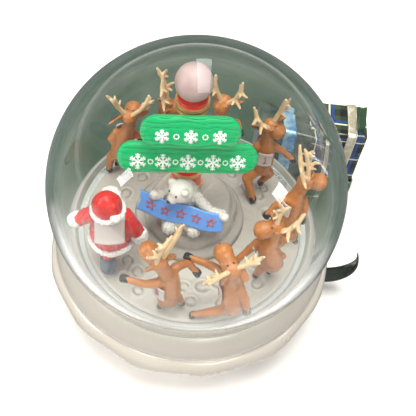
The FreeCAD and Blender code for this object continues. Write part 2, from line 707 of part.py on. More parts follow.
def make_spring():
    """The barrel, the coiled spring inside it and the arbor that winds it."""
    bottom = cell("barrel_bottom")
    tall = cell("barrel_height")
    outer = cell("barrel_radius")
    wall = cell("barrel_wall")
    arbor = as_size(1.5)
    gap = cell("running_gap")
    top = bottom + tall
    keep(turned("spring_barrel", [
        (arbor + gap, bottom), (outer, bottom), (outer, top), (0, top), (0, top - wall),
        (outer - wall, top - wall), (outer - wall, bottom + wall), (arbor + gap, bottom + wall)]),
        "spring_barrel")
    coils = 6
    strip = 0.35
    first, last = 3.4, outer.value - wall.value - 0.5
    steps = 24 * coils
    edges = []
    for offset in (0.0, strip):
        points = []
        for step in range(steps + 1):
            angle = 2 * math.pi * coils * step / steps
            radius = first + (last - first - strip) * step / steps + offset
            points.append(V(radius * math.cos(angle), radius * math.sin(angle), 0))
        curve = Part.BSplineCurve()
        curve.interpolate(points)
        edges.append(curve.toShape())
    inner_edge, outer_edge = edges
    ends = [Part.LineSegment(inner_edge.Vertexes[at].Point, outer_edge.Vertexes[at].Point).toShape()
            for at in (0, -1)]
    outline = Part.Wire(Part.__sortEdges__([inner_edge, ends[1], outer_edge, ends[0]]))
    spring = doc.addObject("Part::Feature", "mainspring")
    spring.Shape = Part.Face(outline).extrude(V(0, 0, tall.value - 2 * wall.value - 0.8))
    spring.Placement = FreeCAD.Placement(V(0, 0, bottom.value + wall.value + 0.4), Turn())
    keep(spring, "mainspring")
    shaft_foot = top
    keep(primitive("Cylinder", "shaft", (0, 0, shaft_foot), Radius=shaft_radius,
                   Height=plate_top + 3.2 - shaft_foot), "drive_shaft")
    rod_of_arbor = primitive("Cylinder", "arbor_rod", (0, 0, 3.0), Radius=arbor,
                             Height=top - wall - 0.3 - 3.0)
    hook = primitive("Cylinder", "arbor_hub", (0, 0, bottom + wall + 0.3), Radius=3.0,
                     Height=tall - wall * 2 - 0.9)
    keep(joined("winding_arbor", [rod_of_arbor, hook]), "winding_arbor")


def make_key():
    """The winding key in the recess, with two wings for the fingers."""
    wing_thick = 1.8
    wings = []
    for side in (0, 180):
        wing = padded("wing", [(1.0, 2.0), (8.0, 1.7, 3.0), (8.0, 6.6), (1.0, 7.2)],
                      -wing_thick / 2, wing_thick, "XZ_Plane")
        wing.Placement = FreeCAD.Placement(V(0, 0, 0), Turn(Z_AXIS, side + 30))
        wings.append(wing)
    hub = primitive("Cylinder", "key_hub", (0, 0, 2.0), Radius=2.8, Height=6.2)
    blank = joined("key_blank", [hub] + wings)
    hole = primitive("Cylinder", "key_hole", (0, 0, 3.0), Radius=1.5, Height=8.0)
    keep(cut("winding_key", blank, hole), "winding_key")


def make_music():
    """The pinned cylinder, the comb that it plucks and the plate that holds them."""
    axis_level = drive_level.value - 3.6
    length = cell("cylinder_length")
    start = 17.2
    along_x = Turn(Y_AXIS, 90)
    radius = cell("cylinder_radius")
    drum = primitive("Cylinder", "cylinder_drum", (start, 0, axis_level), along_x,
                     Radius=radius, Height=length)
    pins = []
    pin_rows = 9
    for row_index in range(pin_rows):
        angle = math.radians(40.0 * ((row_index * 4) % pin_rows) + 20.0)
        across = V(0, math.cos(angle), math.sin(angle))
        foot = V(start + 1.6 + row_index * 1.85, 0, axis_level) + across * (radius.value - 0.4)
        pins.append(rod(f"pin_{row_index}", foot, foot + across * 0.75, 0.25))
    spindle = primitive("Cylinder", "spindle", (12.0, 0, axis_level), along_x,
                        Radius=0.9, Height=26.4)
    pinion = primitive("Cylinder", "crown_pinion", (13.2, 0, axis_level), along_x,
                       Radius=3.3, Height=2.6)
    keep(joined("pinned_cylinder", [drum, spindle, pinion] + pins), "pinned_cylinder")
    comb_y = 7.0
    blade = padded("comb_blade", [(start + 0.4, comb_y), (start + 17.4, comb_y),
                                  (start + 17.4, comb_y + 7.0), (start + 0.4, comb_y + 7.0)],
                   axis_level - 0.4, 0.8)
    slot_sketch = new_sketch(blade, "XY_Plane", axis_level + 0.4)
    draw_outline(slot_sketch, [(start + 1.2, comb_y), (start + 1.5, comb_y),
                               (start + 1.5, comb_y + 4.4), (start + 1.2, comb_y + 4.4)])
    slot = blade.newObject("PartDesign::Pocket", "Slot")
    slot.Profile = slot_sketch
    bind(slot, Length=1.0)
    doc.recompute()
    slots = blade.newObject("PartDesign::LinearPattern", "Slots")
    slots.Originals = [slot]
    slots.Direction = (slot_sketch, ["H_Axis"])
    slots.Length = 15.3
    slots.Occurrences = 18
    blade.Tip = slots
    doc.recompute()
    keep(blade, "music_comb")
    plate_thick = 1.6
    plate_bottom = deck_bottom.value - plate_thick
    sheet_metal = primitive("Box", "bed_sheet", (-31.0, -14.0, plate_bottom),
                            Length=69.0, Width=28.4, Height=plate_thick)
    rest = primitive("Box", "comb_rest", (start + 0.4, comb_y + 4.6, axis_level + 0.4),
                     Length=17.0, Width=2.4, Height=plate_bottom - axis_level)
    far_lug = primitive("Box", "far_lug", (36.2, -2.2, axis_level - 2.2),
                        Length=1.6, Width=4.4, Height=plate_bottom - axis_level + 2.4)
    lug_hole = primitive("Cylinder", "lug_hole", (30.0, 0, axis_level), along_x,
                         Radius=0.95, Height=12.0)
    bush_hole = primitive("Cylinder", "bed_hole", (0, 0, plate_bottom - 1), Radius=3.1, Height=4.0)
    plate = joined("bed_blank", [sheet_metal, rest, far_lug])
    keep(cut("movement_plate", plate, joined("bed_holes", [lug_hole, bush_hole])),
         "movement_plate")
    keep(ring("shaft_bush", shaft_radius + cell("running_gap"), as_size(3.05),
              deck_bottom - plate_thick - 0.6, as_size(6.0)), "shaft_bush")
    screws = []
    for x, y in ((-27.0, 10.0), (27.0, -10.0), (-8.0, 12.0)):
        head = primitive("Cylinder", "bed_screw_head", (x, y, plate_bottom - 1.1),
                         Radius=2.2, Height=1.1)
        slot_cut = primitive("Box", "bed_screw_slot", (x - 2.3, y - 0.3, plate_bottom - 1.2),
                             Length=4.6, Width=0.6, Height=0.6)
        screws.append(cut("bed_screw", head, slot_cut))
    keep(grouped("movement_screws", screws), "movement_screws")
    comb_screws = [primitive("Cylinder", "comb_screw", (x, comb_y + 5.8, axis_level - 1.3),
                             Radius=1.1, Height=0.9)
                   for x in (start + 4.0, start + 13.8)]
    keep(grouped("comb_screws", comb_screws), "comb_screws")


make_dome()
make_seat()
make_snow_base()
make_underside()
make_parcel()
make_ribbon_curl()
make_turntable()
make_mound()
make_pole()
make_sign("sign_upper", cell("upper_sign_width"), 102.4, -4.6)
make_sign("sign_lower", cell("lower_sign_width"), 87.4, -4.9)
make_bear()
make_santa()
for deer_number, track_place in enumerate(deer_track, start=1):
    make_reindeer(deer_number, *track_place)
keep(grouped("race_bibs", bib_sheets), "race_bibs")
make_spring()
make_gear_train()
make_key()
make_music()
doc.recompute()

# ---------------------------------------------------------------- checks and files
for thing in doc.Objects:
    bad_states = [state for state in thing.State if state in ("Invalid", "Error")]
    if bad_states:
        raise RuntimeError(f"{thing.Label} ({thing.Name}) is {bad_states}")
os.makedirs("parts", exist_ok=True)
for node in nodes:
    if node.Shape.isNull() or not node.Shape.isValid() or node.Shape.Volume <= 0:
        raise RuntimeError(f"{node.Label} has no sound shape")
for node in nodes:
    node.Shape.exportStep(f"parts/{node.Label}.step")
    solids = len(node.Shape.Solids)
    print(f"{node.Label}: {solids} solid(s), {node.Shape.Volume:.1f} mm3")
print(f"{len(nodes)} sub-parts")
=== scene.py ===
import math
import random

import bmesh
import bpy
from mathutils import Matrix, Vector, noise


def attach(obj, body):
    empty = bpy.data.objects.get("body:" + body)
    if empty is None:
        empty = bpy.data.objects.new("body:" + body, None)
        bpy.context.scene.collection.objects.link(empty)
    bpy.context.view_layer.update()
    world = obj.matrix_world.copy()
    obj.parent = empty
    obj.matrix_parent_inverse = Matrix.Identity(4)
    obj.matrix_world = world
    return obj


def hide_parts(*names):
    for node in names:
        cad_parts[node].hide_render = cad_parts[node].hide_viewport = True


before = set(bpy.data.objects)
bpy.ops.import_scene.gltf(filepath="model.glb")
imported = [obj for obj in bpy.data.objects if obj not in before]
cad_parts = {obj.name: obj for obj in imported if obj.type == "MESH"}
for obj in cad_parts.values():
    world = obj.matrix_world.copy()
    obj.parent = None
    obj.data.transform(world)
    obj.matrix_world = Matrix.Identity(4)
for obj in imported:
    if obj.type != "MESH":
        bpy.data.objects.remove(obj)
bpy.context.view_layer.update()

mm = 0.001                       # every maker below works in millimetres
allJoined = []                   # every new piece, for the count at the end


# the camera
cameraSettings = {
    "spot": (0.0, -0.17464, 0.31393),
    "right": (0.99399653, 0.0795203, 0.07514927),
    "up": (-0.10795616, 0.82448405, 0.55549215),
    "forward": (0.01778648, 0.5602701, -0.82811899),
    "lens": 64.226,
    "sensor": 36.0,
}


def makeCamera(s):
    data = bpy.data.cameras.new("viewCamera")
    data.lens = s["lens"]
    data.sensor_width = s["sensor"]
    data.clip_start = 0.01
    camera = bpy.data.objects.new("viewCamera", data)
    bpy.context.scene.collection.objects.link(camera)
    back = [-value for value in s["forward"]]
    turn = Matrix((s["right"], s["up"], back)).transposed().to_4x4()
    camera.matrix_world = Matrix.Translation(s["spot"]) @ turn
    bpy.context.scene.camera = camera


# node helpers
def newGroup(name, inputs, outputs):
    group = bpy.data.node_groups.new(name, "ShaderNodeTree")
    for label, kind, value in inputs:
        socket = group.interface.new_socket(name=label, in_out="INPUT", socket_type=kind)
        socket.default_value = value
    for label, kind in outputs:
        group.interface.new_socket(name=label, in_out="OUTPUT", socket_type=kind)
    return group, group.nodes.new("NodeGroupInput"), group.nodes.new("NodeGroupOutput")


def addNode(tree, kind, inputs=None, **props):
    node = tree.nodes.new(kind)
    for key, value in props.items():
        setattr(node, key, value)
    for key, value in (inputs or {}).items():
        if isinstance(value, bpy.types.NodeSocket):
            tree.links.new(value, node.inputs[key])
        else:
            node.inputs[key].default_value = value
    return node


def mixColour(tree, fac, first, second, blend="MIX"):
    node = addNode(tree, "ShaderNodeMix", {0: fac, 6: first, 7: second},
                   data_type="RGBA", blend_type=blend)
    return node.outputs[2]


def calc(tree, kind, first, second=0.5, clamp=False):
    node = addNode(tree, "ShaderNodeMath", {0: first, 1: second}, operation=kind,
                   use_clamp=clamp)
    return node.outputs[0]


def spread(tree, value, low, high):     # 0 at low, 1 at high
    node = addNode(tree, "ShaderNodeMapRange", {"Value": value, "From Min": low, "From Max": high})
    return node.outputs[0]


colourKind, floatKind, vectorKind = "NodeSocketColor", "NodeSocketFloat", "NodeSocketVector"
white, black = (1, 1, 1, 1), (0, 0, 0, 1)


def makeShadedPaint():        # brushed-on colour, with painted shade darkening the creases and painted highlights on the edges
    group, source, sink = newGroup("shadedPaint", [
        ("Vector", vectorKind, (0, 0, 0)), ("Colour", colourKind, white),
        ("Crease Shade Colour", colourKind, black), ("Edge Highlight Colour", colourKind, white),
        ("Mottle Scale", floatKind, 250.0), ("Mottle", floatKind, 0.25),
        ("Crease Shade", floatKind, 0.6), ("Edge Highlight", floatKind, 0.3)],
        [("Colour", colourKind), ("Height", floatKind), ("Mask", floatKind)])
    put = source.outputs
    cloud = addNode(group, "ShaderNodeTexNoise", {
        "Vector": put["Vector"], "Scale": put["Mottle Scale"], "Detail": 4.0, "Roughness": 0.6})
    fine = addNode(group, "ShaderNodeTexNoise", {
        "Vector": put["Vector"], "Scale": calc(group, "MULTIPLY", put["Mottle Scale"], 7.0),
        "Detail": 3.0, "Roughness": 0.65})
    patch = spread(group, cloud.outputs["Fac"], 0.35, 0.7)
    tone = mixColour(group, calc(group, "MULTIPLY", patch, put["Mottle"]),
                     put["Colour"], put["Crease Shade Colour"])
    point = addNode(group, "ShaderNodeNewGeometry").outputs["Pointiness"]
    # painted shade: the darker crease colour is mixed in where the surface curves inward
    creaseShadeMask = calc(group, "MULTIPLY", spread(group, point, 0.497, 0.455), put["Crease Shade"])
    washed = mixColour(group, creaseShadeMask, tone, put["Crease Shade Colour"])
    # painted highlight: the lighter edge colour is mixed in on ridges, broken up by fine noise
    edgeHighlightMask = calc(group, "MULTIPLY", spread(group, point, 0.515, 0.57),
                 calc(group, "MULTIPLY", put["Edge Highlight"], fine.outputs["Fac"]))
    edgeHighlighted = mixColour(group, edgeHighlightMask, washed, put["Edge Highlight Colour"])
    group.links.new(edgeHighlighted, sink.inputs["Colour"])
    group.links.new(fine.outputs["Fac"], sink.inputs["Height"])
    group.links.new(patch, sink.inputs["Mask"])
    return group


def makeBrushed():          # fine scratches drawn out along one axis
    group, source, sink = newGroup("brushed", [
        ("Vector", vectorKind, (0, 0, 0)), ("Stretch", vectorKind, (60, 60, 2600)),
        ("Colour", colourKind, white), ("Dark", colourKind, black)],
        [("Colour", colourKind), ("Height", floatKind)])
    put = source.outputs
    scaled = addNode(group, "ShaderNodeVectorMath", {0: put["Vector"], 1: put["Stretch"]},
                     operation="MULTIPLY")
    lines = addNode(group, "ShaderNodeTexNoise", {
        "Vector": scaled.outputs[0], "Scale": 1.0, "Detail": 3.0})
    tone = mixColour(group, spread(group, lines.outputs["Fac"], 0.35, 0.7),
                     put["Colour"], put["Dark"])
    group.links.new(tone, sink.inputs["Colour"])
    group.links.new(lines.outputs["Fac"], sink.inputs["Height"])
    return group


def makeDust():             # what settles on faces that look up
    group, source, sink = newGroup("dust", [
        ("Vector", vectorKind, (0, 0, 0)), ("Colour", colourKind, white),
        ("Dust Colour", colourKind, (0.7, 0.69, 0.66, 1)), ("Amount", floatKind, 0.12)],
        [("Colour", colourKind), ("Mask", floatKind)])
    put = source.outputs
    normal = addNode(group, "ShaderNodeNewGeometry").outputs["Normal"]
    upward = addNode(group, "ShaderNodeSeparateXYZ", {"Vector": normal}).outputs["Z"]
    specks = addNode(group, "ShaderNodeTexNoise", {
        "Vector": put["Vector"], "Scale": 900.0, "Detail": 5.0, "Roughness": 0.8})
    mask = calc(group, "MULTIPLY", spread(group, specks.outputs["Fac"], 0.48, 0.72),
                spread(group, upward, 0.1, 1.0))
    mask = calc(group, "MULTIPLY", mask, put["Amount"], clamp=True)
    group.links.new(mixColour(group, mask, put["Colour"], put["Dust Colour"]),
                    sink.inputs["Colour"])
    group.links.new(mask, sink.inputs["Mask"])
    return group


shadedPaint, brushed, dust = makeShadedPaint(), makeBrushed(), makeDust()


def startMaterial(name, **sockets):
    mat = bpy.data.materials.new(name)
    mat.use_nodes = True
    tree = mat.node_tree
    shader = tree.nodes["Principled BSDF"]
    for label, value in sockets.items():
        shader.inputs[label.replace("_", " ")].default_value = value
    place = addNode(tree, "ShaderNodeTexCoord").outputs["Object"]
    return mat, tree, shader, place


def addBump(tree, shader, height, strength, distance=0.0002):
    bump = addNode(tree, "ShaderNodeBump", {
        "Height": height, "Strength": strength, "Distance": distance})
    tree.links.new(bump.outputs[0], shader.inputs["Normal"])


def roughen(tree, shader, mask, low, high):
    node = addNode(tree, "ShaderNodeMapRange", {"Value": mask, "To Min": low, "To Max": high})
    tree.links.new(node.outputs[0], shader.inputs["Roughness"])


# the wash colour and amount paint shade into the creases; the edge colour and amount paint
# highlights on the ridges
def painted(name, colour, washColour, edgeHighlightColour=white, rough=(0.3, 0.45), mottle=0.2,
            mottleScale=220.0, wash=0.6, edge=0.25, bump=0.12, coat=0.25):
    mat, tree, shader, place = startMaterial(name, Coat_Weight=coat, Coat_Roughness=0.18)
    paint = addNode(tree, "ShaderNodeGroup", node_tree=shadedPaint)
    for label, value in (("Colour", colour), ("Crease Shade Colour", washColour),
                         ("Edge Highlight Colour", edgeHighlightColour), ("Mottle Scale", mottleScale),
                         ("Mottle", mottle), ("Crease Shade", wash), ("Edge Highlight", edge)):
        paint.inputs[label].default_value = value
    tree.links.new(place, paint.inputs["Vector"])
    tree.links.new(paint.outputs["Colour"], shader.inputs["Base Color"])
    roughen(tree, shader, paint.outputs["Mask"], *rough)
    addBump(tree, shader, paint.outputs["Height"], bump)
    return mat


def metal(name, colour, dark, stretch, rough=0.28):
    mat, tree, shader, place = startMaterial(name, Metallic=1.0, Roughness=rough)
    lines = addNode(tree, "ShaderNodeGroup", node_tree=brushed)
    for label, value in (("Colour", colour), ("Dark", dark), ("Stretch", stretch)):
        lines.inputs[label].default_value = value
    tree.links.new(place, lines.inputs["Vector"])
    tree.links.new(lines.outputs["Colour"], shader.inputs["Base Color"])
    addBump(tree, shader, lines.outputs["Height"], 0.15, 0.0001)
    return mat


# mesh helpers, all in millimetres
def blob(bm, centre, radii, turn=None, detail=3):
    shape = Matrix.Translation(centre)
    if turn is not None:
        shape = shape @ turn.to_4x4()
    scale = Matrix.Diagonal((*radii, 1.0))
    bmesh.ops.create_icosphere(bm, subdivisions=detail, radius=1.0, matrix=shape @ scale)


def limb(bm, points, radii):
    points = [Vector(point) for point in points]
    for index, (point, radius) in enumerate(zip(points, radii)):
        blob(bm, point, (radius,) * 3)
        if index:
            start, before = points[index - 1], radii[index - 1]
            run = point - start
            if run.length > 0.05:
                shape = (Matrix.Translation((start + point) / 2)
                         @ run.to_track_quat("Z", "Y").to_matrix().to_4x4())
                bmesh.ops.create_cone(bm, cap_ends=True, segments=20, radius1=before,
                                      radius2=radius, depth=run.length, matrix=shape)


def meshOf(bm):
    mesh = bpy.data.meshes.new("work")
    bm.to_mesh(mesh)
    bm.free()
    return mesh


def linked(name, mesh):         # an object on the scene's own collection
    holder = bpy.data.objects.new(name, mesh)
    bpy.context.scene.collection.objects.link(holder)
    return holder


def finished(holder):           # the mesh with its modifiers applied
    bpy.context.view_layer.update()
    graph = bpy.context.evaluated_depsgraph_get()
    done = bpy.data.meshes.new_from_object(holder.evaluated_get(graph))
    bpy.data.objects.remove(holder)
    return done


def bridge(bm, rings, closed=False):    # skin between neighbouring rings of points
    for here, there in zip(rings, rings[1:] + (rings[:1] if closed else [])):
        for index in range(len(here)):
            after = (index + 1) % len(here)
            bm.faces.new((here[index], there[index], there[after], here[after]))


def slabFaces(bm, low, high):   # a thin slab between two grids of points
    columns, rows = len(low) - 1, len(low[0]) - 1
    for column in range(columns):
        for row in range(rows):
            bm.faces.new((high[column][row], high[column + 1][row],
                          high[column + 1][row + 1], high[column][row + 1]))
            bm.faces.new((low[column][row], low[column][row + 1],
                          low[column + 1][row + 1], low[column + 1][row]))
        for row in (0, rows):
            bm.faces.new((low[column][row], low[column + 1][row],
                          high[column + 1][row], high[column][row]))
    for row in range(rows):
        for column in (0, columns):
            bm.faces.new((low[column][row], low[column][row + 1],
                          high[column][row + 1], high[column][row]))
    bmesh.ops.recalc_face_normals(bm, faces=bm.faces)


def settle(mesh, voxel=None, smooth=0, subdivide=0, factor=0.5):
    holder = linked("work", mesh)
    if voxel:
        step = holder.modifiers.new("remesh", "REMESH")
        step.mode = "VOXEL"
        step.voxel_size = voxel
    if smooth:
        step = holder.modifiers.new("smooth", "SMOOTH")
        step.factor = factor
        step.iterations = smooth
    if subdivide:
        step = holder.modifiers.new("subdivide", "SUBSURF")
        step.levels = step.render_levels = subdivide
    return finished(holder)


def addPiece(name, mesh, materials, body, stands=(), smooth=True):
    for vertex in mesh.vertices:
        vertex.co *= mm
    mesh.name = name
    mesh.materials.clear()
    for mat in materials if isinstance(materials, (list, tuple)) else [materials]:
        mesh.materials.append(mat)
    mesh.polygons.foreach_set("use_smooth", [smooth] * len(mesh.polygons))
    piece = linked(name, mesh)
    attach(piece, body)
    if stands:
        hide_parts(*stands)
    allJoined.append(piece)
    return piece


def joinMeshes(parts):      # [(mesh, material index)] as one mesh
    bm = bmesh.new()
    for mesh, index in parts:
        known = len(bm.faces)
        bm.from_mesh(mesh)
        bm.faces.ensure_lookup_table()
        for face in bm.faces[known:]:
            face.material_index = index
    return meshOf(bm)


def roughSkin(mesh, amount, scale, seed=0.0):       # carved unevenness along the normals
    shift = Vector((seed, seed * 0.7, -seed))
    moved = [vertex.co + vertex.normal * amount
             * noise.fractal(vertex.co * scale + shift, 0.6, 2.0, 3)
             for vertex in mesh.vertices]
    for vertex, spot in zip(mesh.vertices, moved):
        vertex.co = spot


def lathe(profile, count, wave=None):
    # profile: (radius, height) round the whole section; wave(angle, index, radius, height)
    bm = bmesh.new()
    rings = []
    for step in range(count):
        angle = 2 * math.pi * step / count
        ring = []
        for index, (radius, height) in enumerate(profile):
            if wave:
                radius, height = wave(angle, index, radius, height)
            ring.append(bm.verts.new((radius * math.cos(angle), radius * math.sin(angle), height)))
        rings.append(ring)
    bridge(bm, rings, closed=True)
    bmesh.ops.recalc_face_normals(bm, faces=bm.faces)
    return meshOf(bm)


def stroke(bm, points, radius, closed=False):       # a round painted line through points
    points = [Vector(point) for point in points]
    if closed:
        points = points + [points[0]]
    limb(bm, points, [radius] * len(points))


# paints and finishes
def makeGlass():
    mat, tree, shader, place = startMaterial(
        "domeGlass", Roughness=0.0, IOR=1.47, Transmission_Weight=1.0)
    haze = addNode(tree, "ShaderNodeTexNoise", {"Vector": place, "Scale": 22.0, "Detail": 3.0})
    tint = mixColour(tree, spread(tree, haze.outputs["Fac"], 0.3, 0.75),
                     (0.99, 0.995, 0.99, 1), (0.965, 0.98, 0.972, 1))
    # painted shade: the glass colour turns grey where its surface slants away from the camera, at
    # the dome's rim
    slant = addNode(tree, "ShaderNodeLayerWeight", {"Blend": 0.35})
    rim = spread(tree, slant.outputs["Facing"], 0.62, 1.0)
    tint = mixColour(tree, rim, tint, (0.62, 0.65, 0.69, 1))
    tree.links.new(tint, shader.inputs["Base Color"])
    wipes = addNode(tree, "ShaderNodeTexNoise", {"Vector": place, "Scale": 60.0, "Detail": 2.0})
    addBump(tree, shader, wipes.outputs["Fac"], 0.03, 0.0004)
    clear = addNode(tree, "ShaderNodeBsdfTransparent", {"Color": (0.93, 0.95, 0.94, 1)})
    shadowRay = addNode(tree, "ShaderNodeLightPath").outputs["Is Shadow Ray"]
    blend = addNode(tree, "ShaderNodeMixShader", {0: shadowRay})
    tree.links.new(shader.outputs[0], blend.inputs[1])
    tree.links.new(clear.outputs[0], blend.inputs[2])
    tree.links.new(blend.outputs[0], tree.nodes["Material Output"].inputs["Surface"])
    return mat


def makeFrosted():
    mat, tree, shader, place = startMaterial(
        "frostedBall", Subsurface_Weight=0.35, Subsurface_Scale=0.004, Coat_Weight=0.6,
        Coat_Roughness=0.08, IOR=1.45)
    grain = addNode(tree, "ShaderNodeTexNoise", {"Vector": place, "Scale": 2200.0, "Detail": 3.0})
    cloud = addNode(tree, "ShaderNodeTexNoise", {"Vector": place, "Scale": 130.0, "Detail": 3.0})
    tone = mixColour(tree, spread(tree, cloud.outputs["Fac"], 0.3, 0.7),
                     (0.46, 0.31, 0.30, 1), (0.56, 0.43, 0.42, 1))
    tree.links.new(tone, shader.inputs["Base Color"])
    roughen(tree, shader, grain.outputs["Fac"], 0.28, 0.48)
    addBump(tree, shader, grain.outputs["Fac"], 0.1)
    return mat


# each stripe: its place in the check's repeat and its half width
tartanSettings = {
    "repeat": 0.0125, "wide": (0.3, 0.17), "thin": (0.72, 0.035), "blue": (0.86, 0.05),
    # the last two: where the painted shade at the left end stops and the check begins
    "shadedEndTo": 0.0570, "plaidFrom": 0.0575,
}


def makeTartan(s):          # dark glossy check on foil, with painted highlights on its crumples and painted shade as a plain dark left end
    mat, tree, shader, place = startMaterial("tartanFoil", Coat_Weight=0.7, Coat_Roughness=0.08)
    axes = addNode(tree, "ShaderNodeSeparateXYZ", {"Vector": place})
    shade, threads, blues = None, None, None
    for axis, weight in (("X", 1.0), ("Y", 1.0), ("Z", 0.8)):
        turns = calc(tree, "MULTIPLY", axes.outputs[axis], 1 / s["repeat"])
        phase = calc(tree, "FRACT", turns)
        bands = []
        for middle, half in (s["wide"], s["thin"], s["blue"]):
            bands.append(calc(tree, "COMPARE", phase, middle))
            bands[-1].node.inputs[2].default_value = half
        wide, thin, second = bands
        wide, thin = calc(tree, "MULTIPLY", wide, weight), calc(tree, "MULTIPLY", thin, weight)
        shade = wide if shade is None else calc(tree, "ADD", shade, wide)
        threads = thin if threads is None else calc(tree, "MAXIMUM", threads, thin)
        blues = second if blues is None else calc(tree, "MAXIMUM", blues, second)
    ground = mixColour(tree, calc(tree, "MULTIPLY", shade, 0.5, clamp=True),
                       (0.045, 0.07, 0.03, 1), (0.008, 0.010, 0.012, 1))
    ground = mixColour(tree, calc(tree, "MULTIPLY", blues, 0.85), ground, (0.015, 0.06, 0.26, 1))
    ground = mixColour(tree, calc(tree, "MULTIPLY", threads, 0.9), ground, (0.72, 0.72, 0.62, 1))
    crumple = addNode(tree, "ShaderNodeTexNoise", {"Vector": place, "Scale": 160.0, "Detail": 4.0})
    # painted highlight: lighter patches where the crumple noise is high
    lit = mixColour(tree, spread(tree, crumple.outputs["Fac"], 0.62, 0.78), ground,
                    (0.42, 0.40, 0.46, 1))
    # painted shade: towards the left end the check gives way to plain dark green
    half = spread(tree, calc(tree, "ADD", axes.outputs["X"], calc(
        tree, "MULTIPLY", crumple.outputs["Fac"], 0.002)), s["shadedEndTo"], s["plaidFrom"])
    shadedEnd = mixColour(tree, spread(tree, crumple.outputs["Fac"], 0.4, 0.7),
                      (0.030, 0.055, 0.040, 1), (0.085, 0.125, 0.100, 1))
    lit = mixColour(tree, half, shadedEnd, lit)
    tree.links.new(lit, shader.inputs["Base Color"])
    roughen(tree, shader, crumple.outputs["Fac"], 0.18, 0.42)
    addBump(tree, shader, crumple.outputs["Fac"], 0.35, 0.0006)
    return mat


def makeFoil(name, first, second, third):       # pearly ribbon whose colour shifts along the folds: the lighter and darker fold colours are painted sheen and painted shade
    mat, tree, shader, place = startMaterial(name, Metallic=0.55, Coat_Weight=0.5)
    folds = addNode(tree, "ShaderNodeTexNoise", {"Vector": place, "Scale": 120.0, "Detail": 3.0,
                                                 "Distortion": 1.2})
    tone = mixColour(tree, spread(tree, folds.outputs["Fac"], 0.38, 0.55), first, second)
    tone = mixColour(tree, spread(tree, folds.outputs["Fac"], 0.55, 0.72), tone, third)
    tree.links.new(tone, shader.inputs["Base Color"])
    roughen(tree, shader, folds.outputs["Fac"], 0.2, 0.4)
    addBump(tree, shader, folds.outputs["Fac"], 0.4, 0.0005)
    return mat


def makeFelt():
    mat, tree, shader, place = startMaterial("padFelt", Roughness=0.95, Sheen_Weight=0.4)
    fuzz = addNode(tree, "ShaderNodeTexNoise", {"Vector": place, "Scale": 2600.0, "Detail": 4.0})
    tone = mixColour(tree, fuzz.outputs["Fac"], (0.70, 0.69, 0.66, 1), (0.86, 0.85, 0.82, 1))
    tree.links.new(tone, shader.inputs["Base Color"])
    addBump(tree, shader, fuzz.outputs["Fac"], 0.6)
    return mat


def snowPaint(name, colour, washColour, **more):
    mat = painted(name, colour, washColour, **more)
    tree = mat.node_tree
    shader = tree.nodes["Principled BSDF"]
    link = shader.inputs["Base Color"].links[0]
    settled = addNode(tree, "ShaderNodeGroup", node_tree=dust)
    settled.inputs["Amount"].default_value = 0.10
    tree.links.new(tree.nodes["Texture Coordinate"].outputs["Object"], settled.inputs["Vector"])
    tree.links.new(link.from_socket, settled.inputs["Colour"])
    tree.links.new(settled.outputs["Colour"], shader.inputs["Base Color"])
    return mat


glass, frosted = makeGlass(), makeFrosted()
tartan, felt = makeTartan(tartanSettings), makeFelt()
# each finish made with painted() or snowPaint() has painted shade in its creases from its darker
# wash colour, and painted highlights on its edges from its lighter edge colour wherever edge is
# above zero
baseSnow = snowPaint("baseSnow", (0.54, 0.505, 0.45, 1), (0.27, 0.225, 0.175, 1), rough=(0.18, 0.3),
                     mottle=0.12, mottleScale=40.0, wash=0.55, edge=0.0, bump=0.05, coat=0.6)
collarPaint = snowPaint("collarPaint", (0.43, 0.405, 0.365, 1), (0.30, 0.275, 0.245, 1),
                        rough=(0.12, 0.2), mottle=0.08, mottleScale=60.0, coat=0.8, bump=0.03)
trackSnow = snowPaint("trackSnow", (0.46, 0.43, 0.385, 1), (0.27, 0.235, 0.21, 1),
                      rough=(0.25, 0.4), mottle=0.22, mottleScale=70.0, wash=0.7, coat=0.4)
moundSnow = snowPaint("moundSnow", (0.45, 0.42, 0.38, 1), (0.25, 0.22, 0.20, 1),
                      rough=(0.2, 0.35), mottle=0.18, mottleScale=60.0, wash=0.8, coat=0.5)
furWhite = painted("furWhite", (0.72, 0.69, 0.64, 1), (0.44, 0.41, 0.365, 1), wash=0.6,
                   mottle=0.1, rough=(0.3, 0.45), bump=0.2)
trimWhite = painted("trimWhite", (0.88, 0.87, 0.85, 1), (0.60, 0.58, 0.56, 1), wash=0.8,
                    mottle=0.08, bump=0.3, mottleScale=500.0)
bibPaper = painted("bibPaper", (0.55, 0.48, 0.46, 1), (0.39, 0.34, 0.33, 1), mottle=0.2,
                   rough=(0.35, 0.5), bump=0.1, coat=0.1)
deerCoat = painted("deerCoat", (0.50, 0.185, 0.050, 1), (0.19, 0.065, 0.022, 1),
                   (0.62, 0.34, 0.17, 1), mottle=0.3, mottleScale=190.0, wash=0.85, edge=0.6,
                   rough=(0.28, 0.42), coat=0.35)
deerEar = painted("deerEar", (0.60, 0.26, 0.16, 1), (0.30, 0.10, 0.05, 1), mottle=0.25)
antlerPaint = painted("antlerPaint", (0.72, 0.52, 0.30, 1), (0.42, 0.24, 0.10, 1),
                      (0.86, 0.74, 0.56, 1), mottle=0.35, mottleScale=320.0, wash=0.9, edge=0.8)
hoofPaint = painted("hoofPaint", (0.028, 0.028, 0.032, 1), (0.008, 0.008, 0.008, 1),
                    (0.2, 0.2, 0.22, 1), rough=(0.12, 0.25), mottle=0.2, edge=0.5, coat=0.7)
coatRed = painted("coatRed", (0.66, 0.022, 0.018, 1), (0.30, 0.008, 0.008, 1),
                  (0.85, 0.16, 0.12, 1), mottle=0.25, wash=0.8, edge=0.35, coat=0.5)
bootGrey = painted("bootGrey", (0.085, 0.11, 0.15, 1), (0.03, 0.035, 0.05, 1),
                   (0.3, 0.34, 0.4, 1), mottle=0.3, edge=0.6, coat=0.6, rough=(0.2, 0.3))
